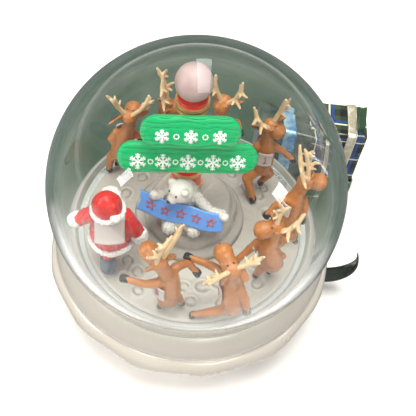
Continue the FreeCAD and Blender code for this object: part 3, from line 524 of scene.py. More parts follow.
mittenGreen = painted("mittenGreen", (0.04, 0.30, 0.09, 1), (0.02, 0.12, 0.04, 1), mottle=0.3)
skinPaint = painted("skinPaint", (0.72, 0.42, 0.30, 1), (0.50, 0.22, 0.14, 1), mottle=0.25)
poleRed = painted("poleRed", (0.70, 0.018, 0.018, 1), (0.34, 0.006, 0.01, 1),
                  (0.85, 0.2, 0.15, 1), mottle=0.2, coat=0.6, rough=(0.15, 0.28))
goldPaint = painted("goldPaint", (0.72, 0.45, 0.12, 1), (0.36, 0.18, 0.03, 1),
                    (0.95, 0.80, 0.45, 1), mottle=0.3, coat=0.3, edge=0.6)
goldPaint.node_tree.nodes["Principled BSDF"].inputs["Metallic"].default_value = 0.75
signGreen = painted("signGreen", (0.0, 0.44, 0.14, 1), (0.0, 0.22, 0.07, 1),
                    (0.03, 0.62, 0.26, 1), mottle=0.22, wash=0.9, edge=0.5, coat=0.7,
                    rough=(0.14, 0.26), bump=0.08)
bannerBlue = painted("bannerBlue", (0.14, 0.34, 0.80, 1), (0.07, 0.18, 0.52, 1),
                     (0.3, 0.5, 0.85, 1), mottle=0.25, mottleScale=300.0, edge=0.5, coat=0.4)
starWhite = painted("starWhite", (0.9, 0.92, 0.9, 1), (0.6, 0.7, 0.62, 1), mottle=0.15)
starRed = painted("starRed", (0.36, 0.02, 0.05, 1), (0.16, 0.008, 0.02, 1), mottle=0.2)
creamRibbon = makeFoil("creamRibbon", (0.82, 0.78, 0.66, 1), (0.62, 0.55, 0.36, 1),
                       (0.92, 0.9, 0.84, 1))
blueFoil = makeFoil("blueFoil", (0.10, 0.30, 0.62, 1), (0.35, 0.62, 0.80, 1),
                    (0.62, 0.86, 0.60, 1))
sashGreen = painted("sashGreen", (0.035, 0.11, 0.045, 1), (0.012, 0.035, 0.018, 1),
                    (0.18, 0.34, 0.20, 1), mottle=0.35, edge=0.6, coat=0.4)
curlBlack = painted("curlBlack", (0.012, 0.022, 0.020, 1), (0.004, 0.006, 0.006, 1),
                    (0.12, 0.16, 0.15, 1), mottle=0.2, edge=0.4, coat=0.9, rough=(0.1, 0.2))
coverPlastic = painted("coverPlastic", (0.80, 0.80, 0.78, 1), (0.64, 0.63, 0.60, 1),
                       rough=(0.45, 0.6), mottle=0.15, bump=0.3, mottleScale=900.0, coat=0.0)
rubber = painted("rubber", (0.62, 0.62, 0.62, 1), (0.4, 0.4, 0.4, 1), rough=(0.5, 0.65), coat=0.0)
fanPlastic = painted("fanPlastic", (0.82, 0.82, 0.80, 1), (0.6, 0.6, 0.6, 1), coat=0.0)
steel = metal("steel", (0.62, 0.63, 0.65, 1), (0.42, 0.43, 0.45, 1), (60, 60, 2600))
brass = metal("brass", (0.80, 0.60, 0.28, 1), (0.55, 0.38, 0.14, 1), (1600, 80, 80))
zinc = metal("zinc", (0.58, 0.59, 0.60, 1), (0.42, 0.42, 0.44, 1), (500, 500, 500), 0.42)

cadFinishes = {
    "glass_dome": glass, "base_collar": collarPaint, "dome_gasket": rubber,
    "bottom_cover": coverPlastic, "cover_screws": steel, "felt_pads": felt,
    "pole_rings": goldPaint, "pole_ball": frosted, "pole_post": poleRed,
    "spring_barrel": brass, "mainspring": steel, "drive_shaft": steel,
    "winding_arbor": steel, "winding_key": brass, "drive_gear": brass,
    "idler_wheel": brass, "governor_fan": fanPlastic, "gear_posts": steel,
    "pinned_cylinder": brass, "music_comb": steel, "movement_plate": zinc,
    "shaft_bush": brass, "movement_screws": steel, "comb_screws": steel,
}
for node, finish in cadFinishes.items():
    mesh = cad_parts[node].data
    mesh.materials.clear()
    mesh.materials.append(finish)
print("finishes on", len(cadFinishes), "nodes")


# the snow base: drum, hanging snow skirt and deck, turned in one shell
baseSettings = {
    "drum": 45.0, "pads": 1.2, "drumTop": 15.0, "neck": 46.0, "deckTop": 39.0,
    "deckBottom": 36.0, "bushHole": 3.2, "cavity": 41.0, "recess": 42.2, "ledge": 11.0,
    "shoulder": 32.0, "count": 300, "lobes": 13, "skirtFrom": 4, "skirtTo": 16, "drip": 1.6,
}


def makeBase(s):
    outside = [(s["drum"], s["pads"]), (s["drum"], 4.0), (s["drum"], 8.0), (s["drum"], 12.0),
               (s["drum"], s["drumTop"]), (49.5, 18.0), (54.0, 20.0), (57.6, 21.2),
               (59.6, 21.6), (61.2, 22.4), (62.0, 24.0), (62.2, 26.0), (62.0, 28.0),
               (61.5, 29.8), (60.6, 31.2), (59.4, 32.0), (57.0, 32.0), (52.0, 32.0),
               (s["neck"], s["shoulder"])]
    inside = [(s["neck"], s["deckTop"]), (s["bushHole"], s["deckTop"]),
              (s["bushHole"], s["deckBottom"]), (s["cavity"], s["deckBottom"]),
              (s["cavity"], s["ledge"]), (s["recess"], s["ledge"]), (s["recess"], s["pads"])]

    def wave(angle, index, radius, height):
        if not s["skirtFrom"] < index < s["skirtTo"]:
            return radius, height
        along = Vector((math.cos(angle), math.sin(angle), 0))
        swell = (math.sin(angle * s["lobes"]) * 0.5 + math.sin(angle * 7 + 1.3) * 0.35
                 + noise.noise(along * 3.0) * 0.6)
        fade = min(1.0, (s["skirtTo"] - index) / 6, (index - s["skirtFrom"]) / 3)
        drip = max(0.0, math.sin(angle * s["lobes"] + 0.8)) ** 2
        low = 1.0 if index < 12 else 0.0
        return (radius + swell * 0.7 * fade,
                height - drip * s["drip"] * fade * low + 0.25 * swell * fade)

    mesh = lathe(outside + inside, s["count"], wave)
    addPiece("snowBase", mesh, baseSnow, "base", ["snow_base"])


makeBase(baseSettings)
print("snow base done")


# the turning track with hoof prints pressed into it
trackSettings = {"radius": 47.4, "bottom": 40.5, "top": 43.0, "bore": 1.6, "rings": 92,
                 "count": 420, "printDeep": 0.85, "seed": 11, "prints": 46, "lane": 36.0,
                 "printFrom": 27, "printTo": 46.8, "bevel": 46.4}


def hoofPrints(s):
    maker = random.Random(s["seed"])
    spots = []
    for index in range(s["prints"]):
        angle = 2 * math.pi * index / s["prints"] + maker.uniform(-0.05, 0.05)
        radius = s["lane"] + (3.4 if index % 2 else -3.6) + maker.uniform(-1.6, 1.6)
        spots.append((radius * math.cos(angle), radius * math.sin(angle),
                      angle - math.pi / 2 + maker.uniform(-0.4, 0.4), maker.uniform(1.8, 2.4)))
    return spots


def makeTrack(s):
    prints = hoofPrints(s)
    top = [s["bore"] + (s["radius"] - s["bore"]) * ring / s["rings"]
           for ring in range(s["rings"] + 1)]

    def sink(x, y):
        depth = 0.0
        for px, py, turn, size in prints:
            dx, dy = x - px, y - py
            if dx * dx + dy * dy > 25:
                continue
            ahead = dx * math.cos(turn) + dy * math.sin(turn)
            side = -dx * math.sin(turn) + dy * math.cos(turn)
            reach = math.hypot(ahead, side * 1.15)
            horseshoe = math.exp(-((reach - size) / 0.42) ** 2)
            if ahead < -0.55 * size:
                horseshoe *= math.exp(-((ahead + 0.55 * size) / 0.4) ** 2)
            depth = max(depth, horseshoe)
            depth -= 0.35 * math.exp(-((reach - size * 1.6) / 0.5) ** 2)
        return depth * s["printDeep"]

    bm = bmesh.new()
    rings = []
    for radius in top:
        ring = []
        for step in range(s["count"]):
            angle = 2 * math.pi * step / s["count"]
            x, y = radius * math.cos(angle), radius * math.sin(angle)
            swell = noise.noise(Vector((x, y, 3.0)) * 0.11) * 0.35
            edge = min(1.0, (s["radius"] - radius) / 2.0)
            z = s["top"] - 0.05 - abs(swell) * edge
            if s["printFrom"] < radius < s["printTo"]:
                z -= sink(x, y)
            if radius > s["bevel"]:
                z -= (radius - s["bevel"]) * 0.4
            ring.append(bm.verts.new((x, y, z)))
        rings.append(ring)
    for radius in (s["radius"], s["bore"]):     # the flat underside
        rings.append([bm.verts.new((radius * math.cos(2 * math.pi * step / s["count"]),
                                    radius * math.sin(2 * math.pi * step / s["count"]),
                                    s["bottom"])) for step in range(s["count"])])
    bridge(bm, rings, closed=True)
    bmesh.ops.recalc_face_normals(bm, faces=bm.faces)
    addPiece("trackPlate", meshOf(bm), trackSnow, "turntable", ["turntable_plate"])


makeTrack(trackSettings)
print("track done")


# the snow bank in the middle, in soft steps
moundSettings = {"centre": (-2.0, 4.0), "foot": 43.0, "top": 56.0, "room": 3.6, "roomTop": 47.0,
                 "middle": 0.02, "uneven": 0.9,
                 "steps": ((24.0, 43.0), (23.4, 45.2), (22.2, 46.6), (21.2, 47.0),
                           (20.6, 47.6), (20.2, 50.2), (19.4, 51.8), (18.6, 52.4), (18.0, 53.0),
                           (17.6, 54.6), (16.8, 55.6), (15.4, 56.0))}


def makeMound(s):
    profile = [(s["room"], s["foot"])] + list(s["steps"])
    profile += [(radius, s["top"]) for radius in (12.0, 8.0, 4.0, s["middle"])]
    profile += [(s["middle"], s["roomTop"]), (s["room"], s["roomTop"])]

    def wave(angle, index, radius, height):
        if not 1 < index < 13:
            return radius, height
        along = Vector((math.cos(angle) * 2, math.sin(angle) * 2, index * 0.35))
        return radius + noise.noise(along) * s["uneven"] - 0.5, height

    mesh = lathe(profile, 180, wave)
    for vertex in mesh.vertices:        # the steps lean on the track's own centre
        share = min(1.0, math.hypot(vertex.co.x, vertex.co.y) / 10.0)
        vertex.co.x += s["centre"][0] * share
        vertex.co.y += s["centre"][1] * share
    addPiece("snowBank", mesh, moundSnow, "turntable", ["snow_mound"])


makeMound(moundSettings)
print("snow bank done")


# the two sign planks: log-shaped boards with carved grooves and painted snow crystals
signSettings = {
    "sign_upper": {"spot": (-4.6, 2.2, 102.4), "wide": 37.0, "marks": (-10.5, 0.0, 10.5),
                   "size": 2.5, "seed": 3.0},
    "sign_lower": {"spot": (-4.9, 2.2, 87.4), "wide": 54.0, "marks": (-19.0, -9.5, 0.0, 9.5, 19.0),
                   "size": 3.1, "seed": 8.0},
    "tall": 12.4, "thick": 4.4, "lean": 62.0, "swing": 6.5, "grooves": 7,
}


def crystal(bm, x, y, z, size, thick):      # six-armed snow crystal of raised paint
    for arm in range(6):
        angle = math.pi / 3 * arm + math.pi / 6
        ahead = Vector((math.cos(angle), math.sin(angle), 0))
        start = Vector((x, y, z))
        limb(bm, [start, start + ahead * size], [thick, thick * 0.8])
        for share in (0.45, 0.75):
            for side in (-1, 1):
                turn = angle + side * math.pi / 3.4
                out = Vector((math.cos(turn), math.sin(turn), 0)) * size * 0.3
                limb(bm, [start + ahead * size * share, start + ahead * size * share + out],
                     [thick * 0.8, thick * 0.6])


def dotRing(bm, x, y, z, size, thick):
    for index in range(8):
        angle = math.pi / 4 * index
        blob(bm, (x + size * math.cos(angle), y + size * math.sin(angle), z),
             (thick,) * 3, detail=2)


def makePlank(name, s, plank):
    tall, thick, wide = s["tall"], s["thick"], plank["wide"]
    columns, rows = int(wide * 3), 72
    half = tall / 2
    reach = wide / 2 - half
    bm = bmesh.new()
    grid = []
    for column in range(columns + 1):
        t = -1 + 2 * column / columns
        x = math.sin(t * math.pi / 2) * wide / 2
        over = max(0.0, abs(x) - reach)
        high = math.sqrt(max(0.0, half * half - over * over)) * 0.995 + 0.02
        deep = thick / 2 * min(1.0, 0.25 + high / half)
        ring = []
        for row in range(rows):
            angle = 2 * math.pi * row / rows
            # a rounded bar section
            y = math.copysign(abs(math.cos(angle)) ** 0.75, math.cos(angle)) * high
            z = math.copysign(abs(math.sin(angle)) ** 0.45, math.sin(angle)) * deep
            drift = noise.noise(Vector((x * 0.16, y * 0.4 + plank["seed"], 0.0)))
            groove = math.sin((y / tall * s["grooves"] + drift * 0.6) * 2 * math.pi)
            cutIn = max(0.0, groove - 0.4) * 0.5
            if math.sin(angle) > 0:
                z -= cutIn + 0.10 * noise.noise(Vector((x * 0.5, y * 2.0, plank["seed"])))
            ring.append(bm.verts.new((x, y, z + thick / 2)))
        grid.append(ring)
    bridge(bm, grid)
    bm.faces.new(reversed(grid[0]))
    bm.faces.new(grid[-1])
    bmesh.ops.recalc_face_normals(bm, faces=bm.faces)
    lean = (Matrix.Translation(plank["spot"])
            @ Matrix.Rotation(math.radians(s["swing"]), 4, "Z")
            @ Matrix.Rotation(math.radians(s["lean"]), 4, "X"))
    bm.transform(lean)
    pieceName = {"sign_upper": "signUpper", "sign_lower": "signLower"}[name]
    addPiece(pieceName, meshOf(bm), signGreen, "turntable", [name])
    marks = bmesh.new()
    face = thick - 0.05
    for x in plank["marks"]:
        crystal(marks, x, -1.2, face, plank["size"], 0.34)
    for left, right in zip(plank["marks"], plank["marks"][1:]):
        dotRing(marks, (left + right) / 2, -1.2, face, 0.9, 0.3)
    marks.transform(lean)
    addPiece(pieceName + "Crystals", meshOf(marks), starWhite, "turntable")


for name in ("sign_upper", "sign_lower"):
    makePlank(name, signSettings, signSettings[name])
print("signs done")


trackTop = trackSettings["top"] - 0.1    # hooves and boots sink in by this much
# the reindeer: every joint of each runner, in the order of jointNames
jointNames = ("hip", "chest", "neck", "head", "nose", "antlerLeft", "antlerRight", "earLeft",
    "earRight", "shoulderLeft", "elbowLeft", "handLeft", "shoulderRight", "elbowRight",
    "handRight", "kneeLeft", "footLeft", "kneeRight", "footRight", "tail", "bib")
herd = {
    1: ((-35, 23.8, 58), (-32.8, 22.4, 69), (-30.6, 22, 77), (-30.4, 21.7, 83), (-28.5, 28.7,
        84), (-35.2, 18, 97), (-22.4, 21.5, 97), (-37.2, 15.8, 85), (-22.9, 23, 87), (-36.4,
        23.8, 70), (-39, 23.4, 66), (-35.8, 21.3, 63), (-29.2, 23.4, 71), (-25.6, 25.6, 67),
        (-24, 29.2, 69), (-39.7, 24.5, 52), (-40.6, 23.2, 45.4), (-32.6, 25, 54), (-36.9, 25.9,
        47), (-33.6, 20.5, 61), (-34.4, 27.1, 69)),
    2: ((-21.1, 31.4, 58), (-19.1, 31.5, 69), (-17.5, 31, 77), (-16.3, 29.9, 84), (-10, 30.2,
        81), (-20.7, 33, 101), (-18.2, 32.1, 99), (-19.5, 28.6, 88), (-16.7, 26.4, 83), (-19.7,
        32.8, 72), (-16.9, 38.7, 69), (-12.6, 40.2, 68), (-18.3, 28.6, 70), (-22.6, 28.5, 66),
        (-25.3, 26.2, 65), (-15.8, 33.1, 54), (-14.5, 32, 45.4), (-25.4, 30.6, 54), (-29, 31,
        50), (-24.8, 29.5, 61), (-14.4, 31.9, 68)),
    3: ((4.4, 35, 58), (5.6, 35.1, 69), (6.7, 34.5, 77), (7.3, 35.1, 84), (4.9, 32.8, 80),
        (13.7, 32, 99), (2.7, 33.7, 100), (15, 34.4, 86), (1.9, 36.2, 88), (9.7, 36.3, 71),
        (14.8, 39.3, 67), (16, 35.2, 66), (1.3, 33.6, 70), (-1.8, 32.6, 66), (0.3, 30.9, 63),
        (8.8, 35.6, 53), (9.1, 34.1, 45.4), (2.1, 33.3, 54), (-1.1, 37.2, 50), (2.3, 36.2, 61),
        (5.5, 32.5, 68)),
    4: ((27.1, 24.1, 58), (27.3, 25.9, 69), (27.2, 25.7, 76), (27.5, 26.6, 82), (33.4, 24.6,
        79), (31, 25.5, 99), (18.8, 21.3, 97), (32.9, 28, 87), (19.5, 23.8, 84), (31, 25.7, 70),
        (35.5, 26.7, 66), (40.2, 26.9, 61), (23.8, 24.6, 70), (21.3, 24.2, 66), (19.3, 23.2,
        62), (31.4, 24, 53), (28.6, 22.9, 48), (21.4, 19.9, 53), (25.2, 15, 45.4), (24.9, 23.5,
        62), (27.3, 24.5, 66)),
    5: ((39.5, -1.6, 58), (39.7, -1, 69), (40.9, -0.3, 76), (41.8, -0.1, 82), (50.7, 2.8, 79),
        (38.6, 3.1, 97), (36.5, 3.9, 98), (43.4, 0.6, 86), (41.6, -2.8, 79), (43.6, -0.2, 70),
        (45.2, -1.7, 66), (44.7, -4.5, 62), (35.5, -1.7, 70), (32.4, -2.4, 66), (30.2, -3.9,
        62), (43.8, -2.3, 53), (44.7, -2.5, 45.4), (37.3, -1.1, 53), (35.1, 4.6, 50), (36, 1,
        61), (38.7, -1.9, 68)),
    6: ((33.1, -24.1, 58), (29.9, -24.5, 69), (30.4, -24.2, 76), (31, -22.5, 82), (23.1, -24.3,
        79), (39.5, -21.9, 91), (33.3, -21.4, 93), (37, -24, 80), (28.4, -19.6, 86), (34.2,
        -22.4, 71), (38.7, -16.6, 67), (41.1, -15.1, 62), (25.7, -23.5, 71), (22.2, -24.4, 65),
        (18.5, -26.6, 60), (36.6, -21.7, 53), (34.3, -20.9, 46), (30.1, -23.9, 53), (28.6,
        -23.2, 45.4), (37, -22.6, 61), (25.4, -22.9, 67)),
    7: ((18.6, -44.1, 58), (17.3, -41.8, 69), (16.6, -42.3, 76), (15.7, -42.3, 81), (10.2,
        -33.6, 83), (7.7, -51.3, 86), (24.1, -42.9, 89), (12.6, -47.3, 79), (21.1, -45.2, 80),
        (20, -44.1, 70), (22.4, -46, 66), (23.3, -47.6, 62), (12.6, -39, 73), (6.8, -35.2, 71),
        (0.2, -33.4, 71), (14.9, -44.6, 52), (4.3, -44.9, 45.6), (21.8, -40.7, 52), (19.1,
        -37.7, 45.4), (22.7, -44.1, 59), (11.6, -42.6, 66)),
    8: ((-6.6, -43.2, 58), (-6.7, -42.2, 69), (-7.9, -43.1, 75), (-10.4, -42, 80), (-17.4,
        -35.3, 80), (-6.8, -38.5, 93), (-4.1, -34.7, 94), (-14.7, -44.7, 78), (-4.9, -38.8, 80),
        (-10.5, -44.9, 70), (-15.4, -44.3, 67), (-22.4, -43, 67), (-4.6, -38.5, 72), (-0.3,
        -35.1, 70), (3.1, -36.3, 66), (-5.3, -43.4, 52), (-9.2, -42, 45.6), (-3.1, -42, 54),
        (-1.4, -40.2, 46.4), (-3.1, -41.2, 60), (-10.3, -46.1, 66)),
}
deerSettings = {
    "torso": (4.3, 4.9, 4.5, 3.9), "neck": (3.4, 2.6, 2.7), "muzzle": (3.3, 3.0, 3.3, 3.7),
    "arm": (1.9, 1.55, 1.3), "leg": (2.9, 2.2, 1.45), "voxel": 0.42, "smooth": 5,
    "antlerVoxel": 0.3, "bibNumbers": {1: 7, 2: 4, 3: 6, 4: 1, 5: 5, 6: 3, 7: 2, 8: 8},
}


def blendPoint(first, second, share):
    return first.lerp(second, share)


def headAxes(j):            # forward, left and up of the head
    ahead = (j["nose"] - j["head"]).normalized()
    left = j["earLeft"] - j["earRight"]
    left = (left - ahead * left.dot(ahead)).normalized()
    return ahead, left, ahead.cross(left).normalized()


def deerBody(j, s):
    ahead, left, up = headAxes(j)
    bm = bmesh.new()
    spine = (j["chest"] - j["hip"]).normalized()
    limb(bm, [j["hip"] - spine * 0.6, blendPoint(j["hip"], j["chest"], 0.35),
              blendPoint(j["hip"], j["chest"], 0.75), j["chest"] + spine * 1.2], s["torso"])
    limb(bm, [j["chest"] + spine * 1.5, j["neck"], j["head"]], s["neck"])
    tip = j["nose"] - ahead * 3.3
    limb(bm, [j["head"], blendPoint(j["head"], tip, 0.4), blendPoint(j["head"], tip, 0.75),
              tip], s["muzzle"])
    for side, ear in ((1, j["earLeft"]), (-1, j["earRight"])):
        root = j["head"] + left * side * 2.4 + up * 1.2
        run = ear - root
        middle = root + run * 0.55
        across = run.normalized()
        facing = (ahead - across * ahead.dot(across)).normalized()
        turn = Matrix((facing, facing.cross(across) * -1, across)).transposed()
        blob(bm, middle, (0.75, 1.75, max(2.6, run.length * 0.58)), turn)
        limb(bm, [root - left * side * 0.8, root + run * 0.35], [1.2, 0.9])
        # brow over each eye
        blob(bm, j["head"] + left * side * 1.35 + up * 2.7 + ahead * 0.4, (1.3, 1.0, 0.7))
    for name, side in (("Left", 1), ("Right", -1)):
        shoulder, elbow, hand = (j[part + name] for part in ("shoulder", "elbow", "hand"))
        limb(bm, [blendPoint(shoulder, j["chest"], 0.35), shoulder, elbow, hand],
             (2.0,) + s["arm"])
        hip = j["hip"] + left * side * 0.1
        limb(bm, [hip, blendPoint(hip, j["knee" + name], 0.55), j["knee" + name],
                  j["foot" + name]], (s["leg"][0], s["leg"][0] * 0.95) + s["leg"][1:])
    limb(bm, [j["hip"], j["tail"], j["tail"] + Vector((0, 0, 1.2))], [1.4, 1.3, 0.9])
    mesh = settle(meshOf(bm), voxel=s["voxel"], smooth=s["smooth"])
    roughSkin(mesh, 0.14, 0.55, j["hip"].x)
    return mesh


def hoof(bm, end, before):
    ahead = (end - before).normalized()
    side = ahead.cross(Vector((0, 0, 1)))
    side = side.normalized() if side.length > 0.1 else Vector((1, 0, 0))
    for turn in (-1, 1):
        start = end + side * 0.5 * turn
        limb(bm, [start - ahead * 0.3, start + ahead * 1.3], [1.15, 1.3])


def deerHooves(j):
    bm = bmesh.new()
    for name in ("Left", "Right"):
        hoof(bm, j["hand" + name], j["elbow" + name])
        foot = j["foot" + name]
        down = blendPoint((foot - j["knee" + name]).normalized(), Vector((0, 0, -1)), 0.4)
        hoof(bm, Vector((foot.x, foot.y, max(foot.z, 45.3))), foot - down * 3)
    mesh = settle(meshOf(bm), voxel=0.3, smooth=3)
    for vertex in mesh.vertices:
        vertex.co.z = max(vertex.co.z, trackTop)
    return mesh


def deerAntlers(j, s):
    ahead, left, up = headAxes(j)
    bm = bmesh.new()
    for side, tip in ((1, j["antlerLeft"]), (-1, j["antlerRight"])):
        root = j["head"] + left * side * 1.3 + up * 2.4 - ahead * 0.3
        run = tip - root
        bow = left * side * 1.6
        first, second = root + run * 0.35 + bow, root + run * 0.7 + bow * 0.9
        limb(bm, [root - up * 0.6, first, second, tip], [1.0, 0.95, 1.05, 0.55])
        out = (left * side + up * 0.35).normalized()
        limb(bm, [first, first + out * 2.6 + ahead * 1.2, first + out * 3.6 + up * 1.6
                  + ahead * 1.4], [0.8, 0.7, 0.45])
        limb(bm, [second, second + out * 2.6 + ahead * 0.6, second + out * 3.2 + up * 1.8],
             [0.85, 0.7, 0.45])
        limb(bm, [second, second - out * 1.8 + run.normalized() * 2.6], [0.8, 0.45])
        limb(bm, [second, second + out * 0.8 + ahead * 2.0 + up * 0.8], [0.75, 0.45])
        limb(bm, [first, first + ahead * 2.4 + up * 1.3], [0.7, 0.45])
    mesh = settle(meshOf(bm), voxel=s["antlerVoxel"], smooth=3)
    roughSkin(mesh, 0.10, 1.1, j["hip"].y)
    return mesh


def deerFace(j):            # eyes, nose, mouth line, inner ears and the light tail
    ahead, left, up = headAxes(j)
    dark, pink, pale = bmesh.new(), bmesh.new(), bmesh.new()
    for side, ear in ((1, j["earLeft"]), (-1, j["earRight"])):
        blob(dark, j["head"] + left * side * 1.15 + up * 2.75 + ahead * 1.5, (0.48,) * 3)
        root = j["head"] + left * side * 2.4 + up * 1.2
        run = ear - root
        across = run.normalized()
        facing = (ahead - across * ahead.dot(across)).normalized()
        turn = Matrix((facing, facing.cross(across) * -1, across)).transposed()
        blob(pink, root + run * 0.6 + facing * 0.55, (0.42, 1.15, run.length * 0.38), turn)
    blob(dark, j["nose"] + up * 1.5 - ahead * 0.9, (0.9,) * 3)
    for side in (-1, 1):
        blob(dark, j["nose"] + up * 1.3 - ahead * 0.8 + left * side * 0.7, (0.6,) * 3)
    mouth = [j["nose"] - ahead * 1.2 - up * 1.9 + left * step * 0.9 - ahead * step * step * 0.5
             for step in (-2, -1, 0, 1, 2)]
    stroke(dark, mouth, 0.26)
    blob(pale, j["tail"] + Vector((0, 0, -0.6)), (1.25,) * 3)
    return joinMeshes([(meshOf(dark), 0), (meshOf(pink), 1), (meshOf(pale), 2)])


digitLines = {      # strokes of the race numbers in a unit square
    1: (((0.35, 0.8), (0.55, 1.0), (0.55, 0.0)), ((0.3, 0.0), (0.8, 0.0))),
    2: (((0.2, 0.8), (0.45, 1.0), (0.75, 0.85), (0.7, 0.55), (0.2, 0.0), (0.8, 0.0)),),
    3: (((0.2, 0.9), (0.55, 1.0), (0.75, 0.78), (0.45, 0.55), (0.78, 0.3), (0.5, 0.0),
         (0.2, 0.1)),),
    4: (((0.65, 0.0), (0.65, 1.0), (0.2, 0.35), (0.85, 0.35)),),
    5: (((0.75, 1.0), (0.3, 1.0), (0.25, 0.6), (0.6, 0.62), (0.78, 0.3), (0.5, 0.0),
         (0.2, 0.1)),),
    6: (((0.7, 1.0), (0.35, 0.6), (0.25, 0.25), (0.5, 0.0), (0.75, 0.25), (0.55, 0.5),
         (0.3, 0.4)),),
    7: (((0.2, 1.0), (0.8, 1.0), (0.4, 0.0)),),
    8: (((0.5, 0.52), (0.25, 0.75), (0.5, 1.0), (0.75, 0.75), (0.5, 0.52), (0.22, 0.25),
         (0.5, 0.0), (0.78, 0.25), (0.5, 0.52)),),
}


def curvedCard(middle, facing, up, radius, wide, tall, thick, flare=0.5):
    # a card bent round a body, and the frame that points on it are given in
    side = up.cross(facing).normalized()
    up = facing.cross(side).normalized()

    def at(across, high, lift=0.0):
        turn = across / radius
        rim = (abs(high) / (tall / 2)) ** 3 * flare * 0.5
        reach = radius + lift + rim
        return (middle + side * math.sin(turn) * reach + up * high
                + facing * (math.cos(turn) * reach - radius))

    bm = bmesh.new()
    columns, rows = 14, 14
    layers = []
    for lift in (0.0, thick):
        layers.append([[bm.verts.new(at(wide * (column / columns - 0.5),
                                        tall * (row / rows - 0.5), lift))
                        for row in range(rows + 1)] for column in range(columns + 1)])
    slabFaces(bm, *layers)
    return bm, at


def makeHerd(s):
    cards, numbers = [], bmesh.new()
    for number, spots in herd.items():
        j = {name: Vector(spot) for name, spot in zip(jointNames, spots)}
        node = f"reindeer_{number}"
        addPiece(f"reindeerBody{number}", deerBody(j, s), deerCoat, "turntable", [node])
        addPiece(f"reindeerHooves{number}", deerHooves(j), hoofPaint, "turntable", [node])
        addPiece(f"reindeerAntlers{number}", deerAntlers(j, s), antlerPaint, "turntable",
                 [node])
        addPiece(f"reindeerFace{number}", deerFace(j), [hoofPaint, deerEar, trimWhite],
                 "turntable", [node])
        spine = (j["chest"] - j["hip"]).normalized()
        core = j["hip"] + spine * (j["bib"] - j["hip"]).dot(spine)
        facing = (j["bib"] - core).normalized()
        middle = core + facing * 5.0
        card, at = curvedCard(middle, facing, spine, 5.6, 6.2, 6.8, 0.45)
        cards.append((meshOf(card), 0))
        for line in digitLines[s["bibNumbers"][number]]:
            stroke(numbers, [at((0.5 - u) * -2.6, (v - 0.5) * 3.6, 0.5) for u, v in line], 0.27)
    addPiece("raceBibs", joinMeshes(cards), bibPaper, "turntable", ["race_bibs"])
    addPiece("raceNumbers", meshOf(numbers), starRed, "turntable")


makeHerd(deerSettings)
print("reindeer done")


# the white bear that sits before the post and holds the banner
bearSettings = {
    "head": (-6.2, -5.6, 74.2), "snout": (-9.6, -9.4, 72.2), "voxel": 0.4, "smooth": 4,
    "ground": 55.9,
}


def makeBear(s):
    head, snout = Vector(s["head"]), Vector(s["snout"])
    ahead = (snout - head).normalized()
    left = Vector((0, 0, 1)).cross(ahead).normalized()
    up = ahead.cross(left).normalized()
    bm = bmesh.new()
    limb(bm, [(-5.0, 0.2, 61.5), (-5.2, -1.0, 66.0), (-5.8, -3.6, 70.5)], [7.3, 6.3, 4.4])
    blob(bm, head, (5.3, 5.2, 4.9))
    limb(bm, [head + ahead * 1.5, snout - ahead * 1.0], [3.7, 2.3])
    for side in (-1, 1):
        blob(bm, head + left * side * 3.7 + up * 3.7, (1.7, 1.5, 1.7))
    limb(bm, [(-10.5, -2.0, 68.0), (-14.0, -4.4, 68.4), (-16.6, -6.4, 70.4)], [2.5, 2.2, 2.1])
    limb(bm, [(0.2, -3.0, 67.6), (6.0, -7.0, 64.0), (11.4, -9.2, 65.6), (12.4, -11.4, 67.0)],
         [2.6, 2.2, 2.0, 1.7])
    limb(bm, [(-8.6, -4.5, 60.0), (-9.6, -10.5, 58.6), (-9.8, -13.4, 58.4)], [4.2, 3.5, 2.9])
    limb(bm, [(-1.8, -4.5, 60.0), (-0.6, -10.8, 58.4), (0.4, -13.6, 58.4)], [4.2, 3.5, 2.9])
    limb(bm, [(-5.0, -2.0, 61.0), (-5.0, -9.0, 60.0)], [6.5, 4.6])
    mesh = settle(meshOf(bm), voxel=s["voxel"], smooth=s["smooth"])
    moved = []
    for vertex in mesh.vertices:        # carved strands of fur that run down the body
        spot = vertex.co
        strand = noise.fractal(Vector((spot.x * 1.5, spot.y * 1.5, spot.z * 0.42)), 0.6, 2.0, 4)
        near = (spot - head).length < 7.6
        moved.append(spot + vertex.normal * strand * (0.14 if near else 0.48))
    for vertex, spot in zip(mesh.vertices, moved):
        spot.z = max(spot.z, s["ground"])
        vertex.co = spot
    addPiece("polarBear", mesh, furWhite, "turntable", ["polar_bear"])
    dark = bmesh.new()
    for side in (-1, 1):
        blob(dark, head + ahead * 3.4 + left * side * 1.9 + up * 3.15, (0.5,) * 3)
    blob(dark, snout + ahead * 1.1 + up * 0.7, (0.9, 0.9, 0.65))
    addPiece("bearFace", meshOf(dark), hoofPaint, "turntable")


makeBear(bearSettings)
print("bear done")


# the banner: a wavy strip with swallow-tail ends and five painted stars
bannerSettings = {
    "left": (-23.0, -7.4, 67.6), "right": (12.8, -11.8, 63.8), "sag": 2.0, "tall": 8.2,
    "thick": 0.9, "lean": 52.0, "stars": (-12.6, -6.3, 0.0, 6.3, 12.6), "starSize": 1.9,
}


